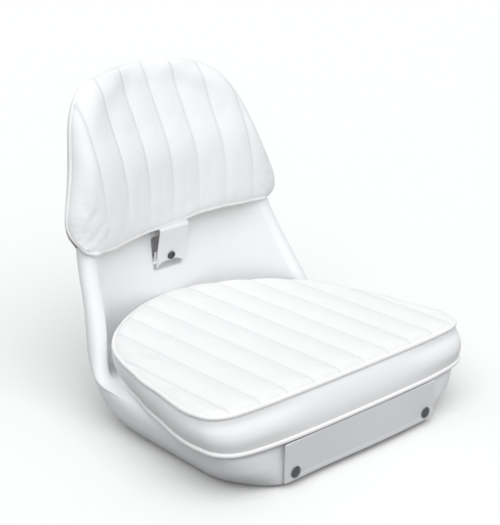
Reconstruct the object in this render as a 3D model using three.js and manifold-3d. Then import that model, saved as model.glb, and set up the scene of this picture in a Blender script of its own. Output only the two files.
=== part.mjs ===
// Helm seat: a double-walled moulded shell that carries two removable vinyl
// cushions. Millimetres, +Z up. The seat faces -Y, X = 0 is its plane of
// symmetry and the origin is the middle of the flat underside that a pedestal
// bolts to.

import * as THREE from 'three';
import { mergeVertices } from 'three/addons/utils/BufferGeometryUtils.js';
import Module from 'manifold-3d';

const wasm = await Module();
wasm.setup();

// Driving dimensions of the shell
const deckHeight = 62;
const deckRise = 1;
const shellTop = 418;
const shellHalfWidth = 208;
const shellFront = 176;
const tubRear = 212;
const wallThickness = 5;
const frontFlatHalfWidth = 128;
const frontCornerDepth = 44;
const flankMiddle = 42;
const backFoot = 208;
const backLean = 56;
const wingReach = 108;
const backThickness = 28.5;

// Rows of the tub from its underside to its rim: height as a share of the deck
// height, then half width, front and rear as shares of the shell's own, the
// depth of the front corner as a share of its full depth and how square it is
const tubShares = [
  [0, 0.842, 0.978, 0.59, 1.95, 1.6],
  [0.07, 0.878, 0.988, 0.645, 1.85, 1.65],
  [0.2, 0.926, 0.99, 0.71, 1.6, 1.85],
  [0.43, 0.976, 0.99, 0.81, 1.25, 2.4],
  [0.73, 0.998, 0.978, 0.91, 1, 3],
  [0.95, 1, 0.968, 0.98, 1, 3],
  [1, 0.99, 0.957, 1, 1, 3],
];

// Rows of the back from the deck to its top edge: height as a share of the
// rise above the deck, half width, lean of its front face, forward reach of
// its wings, and thickness, each as a share of the size named for it above
const backShares = [
  [0, 1, -0.4, 1, 0.98],
  [0.014, 0.995, -0.2, 0.99, 0.81],
  [0.031, 0.982, -0.09, 0.975, 0.77],
  [0.062, 0.963, -0.036, 0.92, 0.85],
  [0.124, 0.935, -0.01, 0.84, 0.92],
  [0.235, 0.885, 0, 0.66, 0.93],
  [0.333, 0.849, 0.064, 0.5, 0.92],
  [0.429, 0.815, 0.18, 0.41, 0.9],
  [0.53, 0.78, 0.33, 0.405, 0.87],
  [0.641, 0.748, 0.48, 0.395, 0.86],
  [0.753, 0.703, 0.64, 0.365, 0.85],
  [0.851, 0.65, 0.77, 0.32, 0.84],
  [0.922, 0.575, 0.88, 0.28, 0.8],
  [0.964, 0.48, 0.95, 0.235, 0.76],
  [0.989, 0.378, 1, 0.185, 0.68],
  [1, 0.272, 1.04, 0.14, 0.45],
];
const footRowShare = 0.062;
const topRowShare = 0.9;
const wingPower = 4;
const rearPower = 2.6;

// Level of the hood's hem as a share of the back's rise above the deck. The
// slot, the strap and the tab are placed by their drop below that hem.
const backRise = shellTop - deckHeight - deckRise;
const hemShare = 0.40704;
const hoodHem = deckHeight + deckRise + backRise * hemShare;
const slotDrop = 63.5;
const strapDrop = 56;
const strapSnapDrop = 43;
const tabRiseDrop = 33.5;
const tabTopDrop = 4.5;
const rearHemDrop = 2.5;

// Strap slot through the back, and what is let into the underside
const slotWidth = 51;
const slotBottom = hoodHem - slotDrop;
const slotHeight = 48;
const slotCorner = 4;
const insertRadius = 8;
const insertLength = 14;
const insertBore = 3.2;
const insertBoreDepth = 11;
const insertSpacingX = 203;
const insertSpacingY = 178;
const bossRadius = 14;
const drainRadius = 4;
const drainSpacing = 120;
const drainSetback = 105;

// Seat cushion
const seatOverhang = 18;
const seatHalfWidth = shellHalfWidth + seatOverhang;
const frontSetback = 16;
const seatFront = shellFront - frontSetback;
const seatRear = 203;
const cushionHeight = 47;
const seamHeight = deckHeight + cushionHeight;
const seamFall = 4.5;
const seatHemLift = 4.4;
const seatHemHeight = deckHeight + seatHemLift;
const seatHemDrop = 3.5;
const hemFlare = 18;
const hemTuck = 10;
const rearTuck = 18;
const boxingBulge = 4.5;
const boxingThickness = 2.5;
const seatPanelThickness = 6;
const seatCrown = 8;
const seatCrownFall = 0.3;
const seatEdgeRise = 1.2;
const seatEdgeRoll = 26;
const seatSeamGap = 0.75;
const seatPitch = 43.7;
const channelDepth = 3.5;
const channelRoundness = 0.6;
const turnStart = 0.55;
const bottomPanelThickness = 1.5;
const weltRadius = 3;
const seatOutlineShares = [
  [0, -1],
  [0.36, -0.997],
  [0.68, -0.985],
  [0.87, -0.955],
  [0.962, -0.875],
  [0.993, -0.76],
  [1, -0.64],
  [0.983, -0.46],
  [0.96, -0.27],
  [0.942, -0.06],
  [0.912, 0.09],
  [0.874, 0.26],
  [0.812, 0.44],
  [0.72, 0.588],
  [0.6, 0.72],
  [0.41, 0.867],
  [0.2, 0.966],
  [0, 1],
];

// Front flap and its two snaps
const flapBottom = 8;
const sheetThickness = 2;
const flapSnapSpacing = 235;
const flapMargin = 16.5;
const flapHalfWidth = flapSnapSpacing / 2 + flapMargin;
const flapSnapHeight = 19;

// Snap fasteners
const capRadius = 7.5;
const capHeight = 3.4;
const capRim = 1;
const barrelRadius = 2.1;
const socketRadius = 6.3;
const socketHeight = 2.6;
const socketBore = 4.4;
const cupFloor = 0.87;
const studHead = 3.6;
const studNeck = 2.9;
const studFlange = 5.6;
const flangeThickness = 0.8;
const studTip = 3.1;
const rolledRim = 4.5;
const neckShare = 0.5;
const headShare = 0.75;
const domeShares = [[0.8, 0.55], [0.45, 0.9]];
const screwRadius = 1.8;
const screwLength = 9;
const fit = 0.3;

// Back cushion, a hood that slips over the top of the back
const hoodOver = 13;
const hoodTop = shellTop + hoodOver;
const hoodWidthShare = 0.8654;
const hoodHalfWidth = shellHalfWidth * hoodWidthShare;
const hemLift = 20;
const cornerPull = 5;
const cornerMeet = 0.7;
const hoodPanelThickness = 7;
const hoodEdgeThickness = 3;
const seamRoom = 0.6;
const wearRoom = 1.2;
const padMargin = 25;
const hoodRearClearance = 3;
const rearHem = hoodHem - rearHemDrop;
const padSag = 18;
const padSagShare = 0.694;
const edgeRoll = 26;
const rollFullness = 2.8;
const edgeForward = 4.5;
const rearRoll = 24;
const drawnCell = 6;
const drawnSpan = 2;
const drawnMargin = 18;
const backPitch = 43.5;
const backWeltRadius = 2.6;
const foamInset = 16;
const foamWidthShare = 0.711;
const foamClearance = 2.2;
const padFront = 190;
const padFall = 92;

// Side and top edge of the hood from its lower corner to the middle of its
// top, as shares of its half width and of its height above the hem
const hoodEdgeShares = [
  [0.955, 0.07],
  [0.99, 0.118],
  [1, 0.18],
  [0.984, 0.255],
  [0.947, 0.34],
  [0.881, 0.495],
  [0.828, 0.655],
  [0.783, 0.763],
  [0.7, 0.866],
  [0.578, 0.938],
  [0.445, 0.97],
  [0.28, 0.991],
  [0, 1],
];

// Hem of the hood's front, which hangs slack on the -X side and is drawn up on
// the other: place as a share of the half width, height as a share of the lift
const hemLiftShares = [
  [-1, 0.5],
  [-0.955, 0.4],
  [-0.89, 0.25],
  [-0.83, 0.14],
  [-0.72, 0],
  [-0.6, -0.11],
  [-0.48, -0.03],
  [-0.36, 0.1],
  [-0.24, 0.16],
  [-0.12, 0.22],
  [0, 0.3],
  [0.12, 0.43],
  [0.24, 0.6],
  [0.36, 0.72],
  [0.48, 0.79],
  [0.6, 0.82],
  [0.72, 0.86],
  [0.83, 0.89],
  [1, 0.88],
];

// Middle line of the pad's face, heights as shares of the hood's height above
// its hem and setback as shares of the fall of the pad towards its top
const padFaceShares = [
  [0, 0.09],
  [0.05, 0.04],
  [0.13, 0],
  [0.23, 0],
  [0.34, 0.022],
  [0.456, 0.075],
  [0.53, 0.14],
  [0.605, 0.25],
  [0.69, 0.365],
  [0.778, 0.5],
  [0.86, 0.66],
  [0.94, 0.815],
  [1, 0.93],
];

// Front strap and rear tab
const strapWidth = 50;
const strapBottom = hoodHem - strapDrop;
const strapSnapHeight = hoodHem - strapSnapDrop;
const strapArchRise = 6.5;
const strapArchHalfWidth = 23;
const strapLean = 0.235;
const strapCapRadius = 6.2;
const strapCapHollow = 2.5;
const tabWidth = 46;
const tabRise = hoodHem - tabRiseDrop;
const tabTop = hoodHem - tabTopDrop;

// How finely the curved pieces are cut
const rearSteps = 7;
const lipSteps = 4;
const faceSteps = 8;
const outlineSteps = 60;
const weltSides = 6;
const roundSteps = 12;
const overrun = 10;
const uprightShare = 0.2;
const channelSteps = 4;
const seatRows = 12;
const hoodRows = 15;
const hemSteps = 24;
const edgeEase = 0.6;
const seamSpan = 3;
const slopeStep = 0.5;
const steepest = 3;
const sideShares = [0.945, 0.972, 0.988, 0.998];

const fullTurn = Math.PI * 2;

// Materials
const plastic = new THREE.MeshStandardMaterial({ color: 0xf1f2f3, roughness: 0.38 });
const vinyl = new THREE.MeshStandardMaterial({ color: 0xf7f7f6, roughness: 0.45 });
const piping = new THREE.MeshStandardMaterial({ color: 0xfbfbfa, roughness: 0.35 });
const foam = new THREE.MeshStandardMaterial({ color: 0xe9dfc3, roughness: 0.95 });
const chrome = new THREE.MeshStandardMaterial({ color: 0x9ea3a6, roughness: 0.15, metalness: 1 });
const brass = new THREE.MeshStandardMaterial({ color: 0xb08d3f, roughness: 0.4, metalness: 1 });

const seat = new THREE.Group();

// Solids and meshes

function toSolid(geometry) {
  const bare = geometry.clone();
  bare.deleteAttribute('normal');
  bare.deleteAttribute('uv');
  const merged = mergeVertices(bare);
  return new wasm.Manifold(new wasm.Mesh({
    numProp: 3,
    vertProperties: new Float32Array(merged.attributes.position.array),
    triVerts: new Uint32Array(merged.index.array),
  }));
}

function toGeometry(solid) {
  const mesh = solid.getMesh();
  const geometry = new THREE.BufferGeometry();
  geometry.setAttribute('position', new THREE.BufferAttribute(mesh.vertProperties, 3));
  geometry.setIndex(new THREE.BufferAttribute(mesh.triVerts, 1));
  geometry.computeVertexNormals();
  return geometry;
}

// The main body of a cut solid, without the scraps left behind the cutter
function largestOf(solid) {
  return solid.decompose().sort((a, b) => b.volume() - a.volume())[0];
}

function addPiece(name, geometry, material, parent = seat) {
  const mesh = new THREE.Mesh(geometry, material);
  mesh.name = name;
  parent.add(mesh);
  return mesh;
}

// Closed skin over rings of equal length. The rings run upwards and turn
// anticlockwise seen from above; a looped loft joins its last ring to its first.
function loft(rings, looped = false) {
  const count = rings[0].length;
  const positions = [];
  const faces = [];
  for (const ring of rings) {
    for (const point of ring) positions.push(point.x, point.y, point.z);
  }
  const spans = looped ? rings.length : rings.length - 1;
  for (let row = 0; row < spans; row++) {
    const below = row * count;
    const above = ((row + 1) % rings.length) * count;
    for (let i = 0; i < count; i++) {
      const next = (i + 1) % count;
      faces.push(below + i, below + next, above + next);
      faces.push(below + i, above + next, above + i);
    }
  }
  if (!looped) {
    addCap(rings[0], 0, true, faces);
    addCap(rings[rings.length - 1], (rings.length - 1) * count, false, faces);
  }
  const geometry = new THREE.BufferGeometry();
  geometry.setAttribute('position', new THREE.Float32BufferAttribute(positions, 3));
  geometry.setIndex(faces);
  return geometry;
}

// Flat end of a loft, cut into triangles in the ring's own plane
function addCap(ring, first, flipped, faces) {
  const origin = ring[0];
  const normal = new THREE.Vector3();
  for (let i = 0; i < ring.length; i++) {
    const here = ring[i].clone().sub(origin);
    const next = ring[(i + 1) % ring.length].clone().sub(origin);
    normal.add(here.cross(next));
  }
  normal.normalize();
  const across = ring[Math.floor(ring.length / 4)].clone().sub(origin).normalize();
  const up = normal.clone().cross(across);
  const flat = ring.map((point) => {
    const offset = point.clone().sub(origin);
    return new THREE.Vector2(offset.dot(across), offset.dot(up));
  });
  for (const [a, b, c] of THREE.ShapeUtils.triangulateShape(flat, [])) {
    if (flipped) faces.push(first + c, first + b, first + a);
    else faces.push(first + a, first + b, first + c);
  }
}

// Value of a table of rows at a place given by the rows' first column
function rowAt(rows, at) {
  let upper = rows.findIndex((row) => row[0] >= at);
  if (upper < 0) upper = rows.length - 1;
  if (upper === 0) return rows[0];
  const low = rows[upper - 1];
  const high = rows[upper];
  const part = (Math.min(at, high[0]) - low[0]) / (high[0] - low[0]);
  return low.map((value, i) => value + (high[i] - value) * part);
}

// Closed outline moved inwards, or outwards where the distance is negative
function offsetOutline(points, distance) {
  return points.map((point, i) => {
    const before = points[(i + points.length - 1) % points.length];
    const after = points[(i + 1) % points.length];
    const run = new THREE.Vector2(after.x - before.x, after.y - before.y).normalize();
    const moved = point.clone();
    moved.x -= run.y * distance;
    moved.y += run.x * distance;
    return moved;
  });
}

function mirrored(half) {
  const other = half.slice(1, -1).reverse().map((point) => point.clone());
  other.forEach((point) => { point.x = -point.x; });
  return [...half, ...other];
}

function smoothClosed(points, steps) {
  const raised = points.map((point) => new THREE.Vector3(point.x, point.y, 0));
  const curve = new THREE.CatmullRomCurve3(raised, true, 'centripetal');
  return curve.getSpacedPoints(steps).slice(0, -1).map((p) => new THREE.Vector2(p.x, p.y));
}

function smoothOpen(points, steps) {
  return new THREE.CatmullRomCurve3(points, false, 'centripetal').getSpacedPoints(steps);
}

// Round rod along an open or looped path, with rings square to the path
function rod(path, radius, looped = false) {
  const rings = path.map((point, i) => {
    const last = path.length - 1;
    const before = path[i > 0 ? i - 1 : (looped ? last : 0)];
    const after = path[i < last ? i + 1 : (looped ? 0 : last)];
    const along = after.clone().sub(before).normalize();
    const side = new THREE.Vector3(along.y, -along.x, 0);
    if (side.length() < uprightShare) side.set(0, along.z, -along.y);
    side.normalize();
    const up = along.clone().cross(side);
    return Array.from({ length: weltSides }, (_, k) => {
      const turn = fullTurn * k / weltSides;
      return point.clone()
        .addScaledVector(side, radius * Math.cos(turn))
        .addScaledVector(up, radius * Math.sin(turn));
    });
  });
  return loft(rings, looped);
}

// Turned piece on an axis along Y: a profile of radius and depth, facing -Y
function turned(profile, steps = roundSteps) {
  const points = profile.map(([radius, depth]) => new THREE.Vector2(radius, depth));
  const lathe = new THREE.LatheGeometry(points, steps);
  lathe.deleteAttribute('normal');
  lathe.deleteAttribute('uv');
  const geometry = mergeVertices(lathe);
  geometry.computeVertexNormals();
  return geometry;
}

function post(radius, length, steps = roundSteps) {
  return new THREE.CylinderGeometry(radius, radius, length, steps);
}

// Shell

// One horizontal section of the tub, moved in by the inset. Half of it runs
// from the rear middle to the front middle on the +X side. Moved in, all but
// its sloping rear keeps a wall's thickness under the deck.
function tubSection(shares, inset) {
  const [heightShare, widthShare, frontShare, rearShare, cornerShare, cornerPower] = shares;
  const halfWidth = shellHalfWidth * widthShare;
  const front = -shellFront * frontShare;
  const rear = tubRear * rearShare;
  const cornerStart = front + frontCornerDepth * cornerShare;
  const outer = deckHeight * heightShare;
  const under = wallThickness + heightShare * (deckHeight - 2 * wallThickness);
  const level = inset > 0 ? under : outer;
  const half = [];
  const place = (x, y, z) => half.push(new THREE.Vector3(x, y, z));
  for (let i = 0; i < rearSteps; i++) {
    const turn = Math.PI / 2 * i / rearSteps;
    place(halfWidth * Math.sin(turn) ** (2 / rearPower),
      flankMiddle + (rear - flankMiddle) * Math.cos(turn) ** (2 / rearPower),
      Math.max(inset, outer));
  }
  for (let i = 0; i <= lipSteps; i++) {
    place(halfWidth, flankMiddle + (cornerStart - flankMiddle) * i / lipSteps, level);
  }
  const turns = faceSteps - 2;
  for (let i = 1; i <= turns; i++) {
    const turn = Math.PI / 2 * i / turns;
    place(frontFlatHalfWidth
        + (halfWidth - frontFlatHalfWidth) * Math.abs(Math.cos(turn)) ** (2 / cornerPower),
    cornerStart + (front - cornerStart) * Math.sin(turn) ** (2 / cornerPower), level);
  }
  place(frontFlatHalfWidth / 2, front, level);
  place(0, front, level);
  return offsetOutline(mirrored(half).reverse(), inset);
}

// Sizes of the back at a height: half width, front face, thickness, end of
// the wall's middle line and how far that line sweeps forward
function backAt(height) {
  const share = (height - deckHeight - deckRise) / backRise;
  return backSizes(rowAt(backShares, Math.max(0, share)));
}

function backSizes(shares) {
  const [, widthShare, leanShare, wingShare, thicknessShare] = shares;
  const thickness = backThickness * thicknessShare;
  const front = backFoot + backLean * leanShare;
  return {
    thickness,
    front,
    rear: front + thickness,
    halfWidth: shellHalfWidth * widthShare,
    reach: shellHalfWidth * widthShare - thickness / 2,
    sweep: wingReach * wingShare,
  };
}

// Middle line of the back's wall, flat in the middle and swept forward at the
// wings
function midWall(sizes, x) {
  const part = Math.min(1, Math.abs(x) / sizes.reach);
  return sizes.front + sizes.thickness / 2 - sizes.sweep * part ** wingPower;
}

// One horizontal section of the back: rear face, rounded lip, front face.
// Moved in, it lies lower where it passes under the deck and the top edge.
function backSection(shares, inset) {
  const sizes = backSizes(shares);
  const radius = sizes.thickness / 2;
  const outer = deckHeight + deckRise + backRise * shares[0];
  const topShare = Math.max(0, (shares[0] - topRowShare) / (1 - topRowShare));
  const footShare = Math.max(0, 1 - shares[0] / footRowShare);
  const drop = Math.max(0, inset);
  const face = (x, sign, level) => {
    const slope = sweepSlope(sizes, x);
    const length = Math.hypot(1, slope);
    return new THREE.Vector3(
      x - sign * radius * slope / length,
      midWall(sizes, x) + sign * radius / length,
      level);
  };
  const rearLevel = outer - drop * topShare;
  const frontLevel = rearLevel - drop * footShare;
  const across = (i, steps) => sizes.reach * Math.sin(Math.PI / 2 * i / steps);
  const half = [];
  for (let i = 0; i < rearSteps; i++) half.push(face(across(i, rearSteps), 1, rearLevel));
  const heading = Math.atan2(sweepSlope(sizes, sizes.reach), 1);
  for (let i = 0; i <= lipSteps; i++) {
    const turn = heading + Math.PI / 2 - Math.PI * i / lipSteps;
    half.push(new THREE.Vector3(
      sizes.reach + radius * Math.cos(turn),
      midWall(sizes, sizes.reach) + radius * Math.sin(turn),
      i === 0 ? rearLevel : frontLevel));
  }
  for (let i = faceSteps - 1; i >= 0; i--) {
    half.push(face(across(i, faceSteps), -1, frontLevel));
  }
  return offsetOutline(mirrored(half).reverse(), inset);
}

function sweepSlope(sizes, x) {
  const part = Math.min(1, Math.abs(x) / sizes.reach);
  return -sizes.sweep * wingPower * part ** (wingPower - 1) / sizes.reach;
}

function shellBody(inset) {
  const tub = tubShares.map((shares) => tubSection(shares, inset));
  const back = backShares.map((shares) => backSection(shares, inset));
  return toSolid(loft([...tub, ...back]));
}

// The back alone, grown by a clearance, as a cutter for what is worn over it
function backClearance(grow) {
  const rings = backShares.map((shares) => backSection(shares, -grow));
  const raised = rings[rings.length - 1].map((point) => new THREE.Vector3(
    point.x, point.y, point.z + grow));
  return toSolid(loft([...rings, raised]));
}

function slotShape(width, height, corner) {
  const shape = new THREE.Shape();
  const halfWidth = width / 2;
  shape.moveTo(-halfWidth + corner, 0);
  shape.lineTo(halfWidth - corner, 0);
  shape.absarc(halfWidth - corner, corner, corner, -Math.PI / 2, 0, false);
  shape.absarc(halfWidth - corner, height - corner, corner, 0, Math.PI / 2, false);
  shape.absarc(-halfWidth + corner, height - corner, corner, Math.PI / 2, Math.PI, false);
  shape.absarc(-halfWidth + corner, corner, corner, Math.PI, Math.PI * 1.5, false);
  return shape;
}

// Prism of an upright shape, running along Y from a start over a depth
function uprightPrism(shape, start, depth, curveSegments = 3) {
  const prism = new THREE.ExtrudeGeometry(shape, { depth, bevelEnabled: false, curveSegments });
  prism.rotateX(Math.PI / 2);
  prism.translate(0, start + depth, 0);
  return prism;
}

function slotCutter(grow) {
  const shape = slotShape(slotWidth + 2 * grow, slotHeight + 2 * grow, slotCorner + grow);
  const prism = uprightPrism(shape, backFoot - wingReach, wingReach + backThickness + backLean);
  prism.translate(0, 0, slotBottom - grow);
  return toSolid(prism);
}

const insertPlaces = [-1, 1].flatMap((side) =>
  [-1, 1].map((end) => [side * insertSpacingX / 2, end * insertSpacingY / 2]));
const insertNames = ['front_left', 'rear_left', 'front_right', 'rear_right'];

function verticalPost(radius, bottom, top, x, y) {
  const solid = post(radius, top - bottom);
  solid.rotateX(Math.PI / 2);
  solid.translate(x, y, (top + bottom) / 2);
  return toSolid(solid);
}

function frontPost(radius, start, depth, x, z) {
  const solid = post(radius, depth);
  solid.translate(x, start + depth / 2, z);
  return toSolid(solid);
}

const flapSnapSides = [['left', -flapSnapSpacing / 2], ['right', flapSnapSpacing / 2]];

function makeShell() {
  let hollow = shellBody(wallThickness).subtract(slotCutter(wallThickness));
  for (const [x, y] of insertPlaces) {
    const bossTop = insertLength + wallThickness;
    hollow = hollow.subtract(verticalPost(bossRadius, -overrun, bossTop, x, y));
  }
  let shell = shellBody(0).subtract(hollow).subtract(slotCutter(0));
  for (const [x, y] of insertPlaces) {
    shell = shell.subtract(
      verticalPost(insertRadius + fit, -overrun, insertLength + 2 * fit, x, y));
  }
  for (const side of [-1, 1]) {
    shell = shell.subtract(verticalPost(
      drainRadius, -overrun, wallThickness + overrun, side * drainSpacing / 2, drainSetback));
  }
  for (const [, x] of flapSnapSides) {
    shell = shell.subtract(frontPost(screwRadius + fit, -shellFront - overrun,
      overrun + wallThickness + overrun, x, flapSnapHeight));
  }
  addPiece('shell', toGeometry(shell), plastic);
}

// Threaded insert with a blind bore, let into a boss of the underside
function makeInserts() {
  const profile = [
    [0, insertBoreDepth],
    [insertBore, insertBoreDepth],
    [insertBore, 0],
    [insertRadius, 0],
    [insertRadius, insertLength],
    [0, insertLength],
  ];
  insertPlaces.forEach(([x, y], i) => {
    const insert = addPiece(`insert_${insertNames[i]}`, turned(profile), brass);
    insert.rotation.x = Math.PI / 2;
    insert.position.set(x, y, fit);
  });
}

// Seat cushion

const seatHalf = seatOutlineShares.map(([across, along]) =>
  new THREE.Vector2(across * seatHalfWidth, along * (along < 0 ? seatFront : seatRear)));
const seatOutline = smoothClosed(mirrored(seatHalf), outlineSteps);

function seamLevel(y) {
  return seamHeight - seamFall * (y + seatFront) / (seatFront + seatRear);
}

// The seat's lower edge follows its upper one, flared forward at the front and
// tucked in at the flanks and the rear
function hemPoint(point) {
  const across = point.x / seatHalfWidth;
  const frontShare = smoothRise(-point.y / seatFront);
  const rearShare = smoothRise(point.y / seatRear);
  return new THREE.Vector2(
    point.x - across * (hemTuck + rearTuck / 2 * rearShare),
    point.y - hemFlare * frontShare * (1 - across ** 4 / 2) - rearTuck * rearShare);
}

function smoothRise(share) {
  return THREE.MathUtils.smoothstep(share, turnStart, 1);
}

const seatHemOutline = seatOutline.map(hemPoint);

function hemLevel(y) {
  return seatHemHeight - seatHemDrop * smoothRise(-y / (seatFront + hemFlare));
}

function seatRing(share, inset, bulge) {
  const outline = seatOutline.map((point, i) => point.clone().lerp(seatHemOutline[i], 1 - share));
  const swollen = offsetOutline(outline, inset - bulge * 4 * share * (1 - share));
  return swollen.map((p, i) => {
    const top = seamLevel(seatOutline[i].y) - weltRadius - fit;
    const bottom = hemLevel(seatHemOutline[i].y) + weltRadius + fit;
    return new THREE.Vector3(p.x, p.y, bottom + (top - bottom) * share);
  });
}

const boxingShares = [0, 0.3, 0.62, 1];

function makeBoxing() {
  const outside = boxingShares.map((share) => seatRing(share, fit, boxingBulge));
  const inside = boxingShares.map((share) => seatRing(share, fit + boxingThickness, boxingBulge));
  const rings = [...outside, ...inside.reverse()];
  addPiece('seat_boxing', loft(rings, true), vinyl);
}

function makeSeatWelts() {
  const upper = seatOutline.map((p) => new THREE.Vector3(p.x, p.y, seamLevel(p.y)));
  addPiece('seat_upper_welt', rod(upper, weltRadius, true), piping);
  const lower = seatHemOutline.map((p) => new THREE.Vector3(p.x, p.y, hemLevel(p.y)));
  addPiece('seat_lower_welt', rod(lower, weltRadius, true), piping);
}

// Depth of the sewn channels at a distance across them, deepest at each seam
function channel(x, pitch, offset) {
  const across = Math.abs(Math.sin(Math.PI * (x - offset) / pitch));
  return -channelDepth * (1 - across ** channelRoundness);
}

// Even columns between the seams, with a column on every seam
function channelColumns(pitch, offset, reach, perChannel) {
  const columns = [];
  const step = pitch / perChannel;
  const first = Math.ceil((-reach - offset) / step);
  for (let i = first - 1; offset + i * step <= reach + step; i++) columns.push(offset + i * step);
  return columns;
}

function evenly(from, to, steps) {
  return Array.from({ length: steps + 1 }, (_, i) => from + (to - from) * i / steps);
}

// Slab over a grid of places between a lower and an upper face. The corner
// function turns a column, a row and a face's value into a point.
function gridSlab(columns, rows, low, high, corner) {
  const ring = (face) => rows.map((row) => columns.map((column) =>
    corner(column, row, face(column, row))));
  const sheets = [ring(low), ring(high)];
  const width = columns.length;
  const size = width * rows.length;
  const positions = sheets.flat(2).flatMap((point) => [point.x, point.y, point.z]);
  const faces = [];
  const quad = (a, b, c, d) => faces.push(a, b, c, a, c, d);
  for (let j = 0; j < rows.length - 1; j++) {
    for (let i = 0; i < width - 1; i++) {
      const a = j * width + i;
      quad(a, a + width, a + width + 1, a + 1);
      quad(size + a, size + a + 1, size + a + width + 1, size + a + width);
    }
  }
  for (let i = 0; i < width - 1; i++) {
    const top = (rows.length - 1) * width + i;
    quad(i, i + 1, size + i + 1, size + i);
    quad(top + 1, top, size + top, size + top + 1);
  }
  for (let j = 0; j < rows.length - 1; j++) {
    const a = j * width;
    const b = a + width - 1;
    quad(a + width, a, size + a, size + a + width);
    quad(b, b + width, size + b + width, size + b);
  }
  const geometry = new THREE.BufferGeometry();
  geometry.setAttribute('position', new THREE.Float32BufferAttribute(positions, 3));
  geometry.setIndex(faces);
  return geometry;
}

function levelPrism(outline, bottom, top) {
  const low = outline.map((p) => new THREE.Vector3(p.x, p.y, bottom));
  const high = outline.map((p) => new THREE.Vector3(p.x, p.y, top));
  return toSolid(loft([low, high]));
}

// Crowned top panel with eleven sewn channels that run front to back
// Lowest and highest crossing of a line at one x with a closed outline
function crossings(outline, x) {
  const levels = [];
  outline.forEach((from, i) => {
    const to = outline[(i + 1) % outline.length];
    if (from.x === to.x || (from.x - x) * (to.x - x) > 0) return;
    levels.push(from.y + (to.y - from.y) * (x - from.x) / (to.x - from.x));
  });
  return [Math.min(...levels), Math.max(...levels)];
}

// Slab whose columns run from one side of an outline to the other, so that its
// edge follows the outline. The corner function is as in gridSlab.
function outlinedSlab(outline, columns, steps, low, high, corner) {
  const ends = new Map(columns.map((x) => [x, crossings(outline, x)]));
  const level = (x, share) => ends.get(x)[0] + (ends.get(x)[1] - ends.get(x)[0]) * share;
  const shares = evenly(0, 1, steps).map((share) =>
    edgeEase * share + (1 - edgeEase) * (1 - Math.cos(Math.PI * share)) / 2);
  return toSolid(gridSlab(columns, shares,
    (x, share) => low(x, level(x, share)), (x, share) => high(x, level(x, share)),
    (x, share, depth) => corner(x, level(x, share), depth)));
}

// Columns of a panel: on and between its seams, then closer at its sides
function panelColumns(outline, pitch, offset, perChannel) {
  const widest = Math.max(...outline.map((p) => p.x));
  const sides = sideShares.map((share) => widest * share);
  const inner = channelColumns(pitch, offset, widest, perChannel)
    .filter((x) => Math.abs(x) < sides[0] - pitch / perChannel / 2);
  return [...sides.map((x) => -x).reverse(), ...inner, ...sides];
}

// Nearest point of a line of points to a place: how far it is, the number of
// the line's point before it and its share of the way to the next
function nearestOn(line, x, y) {
  const nearest = { distance: Infinity, before: 0, part: 0 };
  for (let i = 1; i < line.length; i++) {
    const from = line[i - 1];
    const run = new THREE.Vector2(line[i].x - from.x, line[i].y - from.y);
    const part = THREE.MathUtils.clamp(
      ((x - from.x) * run.x + (y - from.y) * run.y) / run.lengthSq(), 0, 1);
    const distance = Math.hypot(x - from.x - part * run.x, y - from.y - part * run.y);
    if (distance < nearest.distance) Object.assign(nearest, { distance, before: i - 1, part });
  }
  return nearest;
}

// Rise of a rounded edge at a distance from it, as a share of its full rise
function rounded(distance, reach) {
  return Math.sqrt(1 - Math.max(0, 1 - distance / reach) ** rollFullness);
}

// Channelled top panel, rounded down to its seam all round
function makeSeatPanel() {
  const outline = offsetOutline(seatOutline, weltRadius + seatSeamGap);
  const edge = [...outline, outline[0]];
  const columns = panelColumns(outline, seatPitch, seatPitch / 2, channelSteps);
  const low = (x, y) => seamLevel(y) + seatEdgeRise - seatPanelThickness;
  const high = (x, y) => {
    const crown = seatCrown * (1 - seatCrownFall * Math.abs(x / seatHalfWidth) ** 3);
    const inside = nearestOn(edge, x, y).distance;
    const fade = Math.min(1, inside / seatEdgeRoll);
    return seamLevel(y) + seatEdgeRise + crown * rounded(inside, seatEdgeRoll)
      + channel(x, seatPitch, seatPitch / 2) * fade;
  };
  const solid = outlinedSlab(outline, columns, seatRows, low, high,
    (x, y, z) => new THREE.Vector3(x, y, z));
  addPiece('seat_top_panel', toGeometry(solid), vinyl);
}

function makeSeatFoam() {
  const inset = boxingThickness + foamClearance;
  const rings = boxingShares.map((share) => seatRing(share, inset, boxingBulge));
  const under = seatEdgeRise - seatPanelThickness - 3 * fit;
  const floor = seatHemHeight - weltRadius + bottomPanelThickness + fit;
  rings[0] = seatRing(0, inset + foamClearance, boxingBulge);
  rings[0].forEach((point) => { point.z = floor; });
  rings[rings.length - 1].forEach((point, i) => {
    point.z = seamLevel(seatOutline[i].y) + under;
  });
  addPiece('seat_foam', loft(rings), foam);
}

function makeBottomPanel() {
  const outline = offsetOutline(seatHemOutline, weltRadius + fit);
  const bottom = seatHemHeight - weltRadius;
  const solid = levelPrism(outline, bottom, bottom + bottomPanelThickness);
  addPiece('seat_bottom_panel', toGeometry(solid), vinyl);
}

// Snap fasteners, on an axis along Y with their show face towards -Y

// Domed cap whose barrel passes through a sheet into the socket behind it
function snapCap(radius, hollowCentre = 0) {
  const barrelEnd = sheetThickness + 2 * fit + cupFloor;
  const profile = [
    [0, barrelEnd],
    [barrelRadius, barrelEnd],
    [barrelRadius, 0],
    [radius, 0],
    [radius, -capRim],
    ...domeShares.map(([out, up]) => [radius * out, -capRim - (capHeight - capRim) * up]),
  ];
  if (hollowCentre > 0) {
    profile.push([hollowCentre, -capHeight + capRim]);
    profile.push([0, -capHeight + capRim]);
  } else {
    profile.push([0, -capHeight]);
  }
  return turned(profile.reverse());
}

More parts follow.
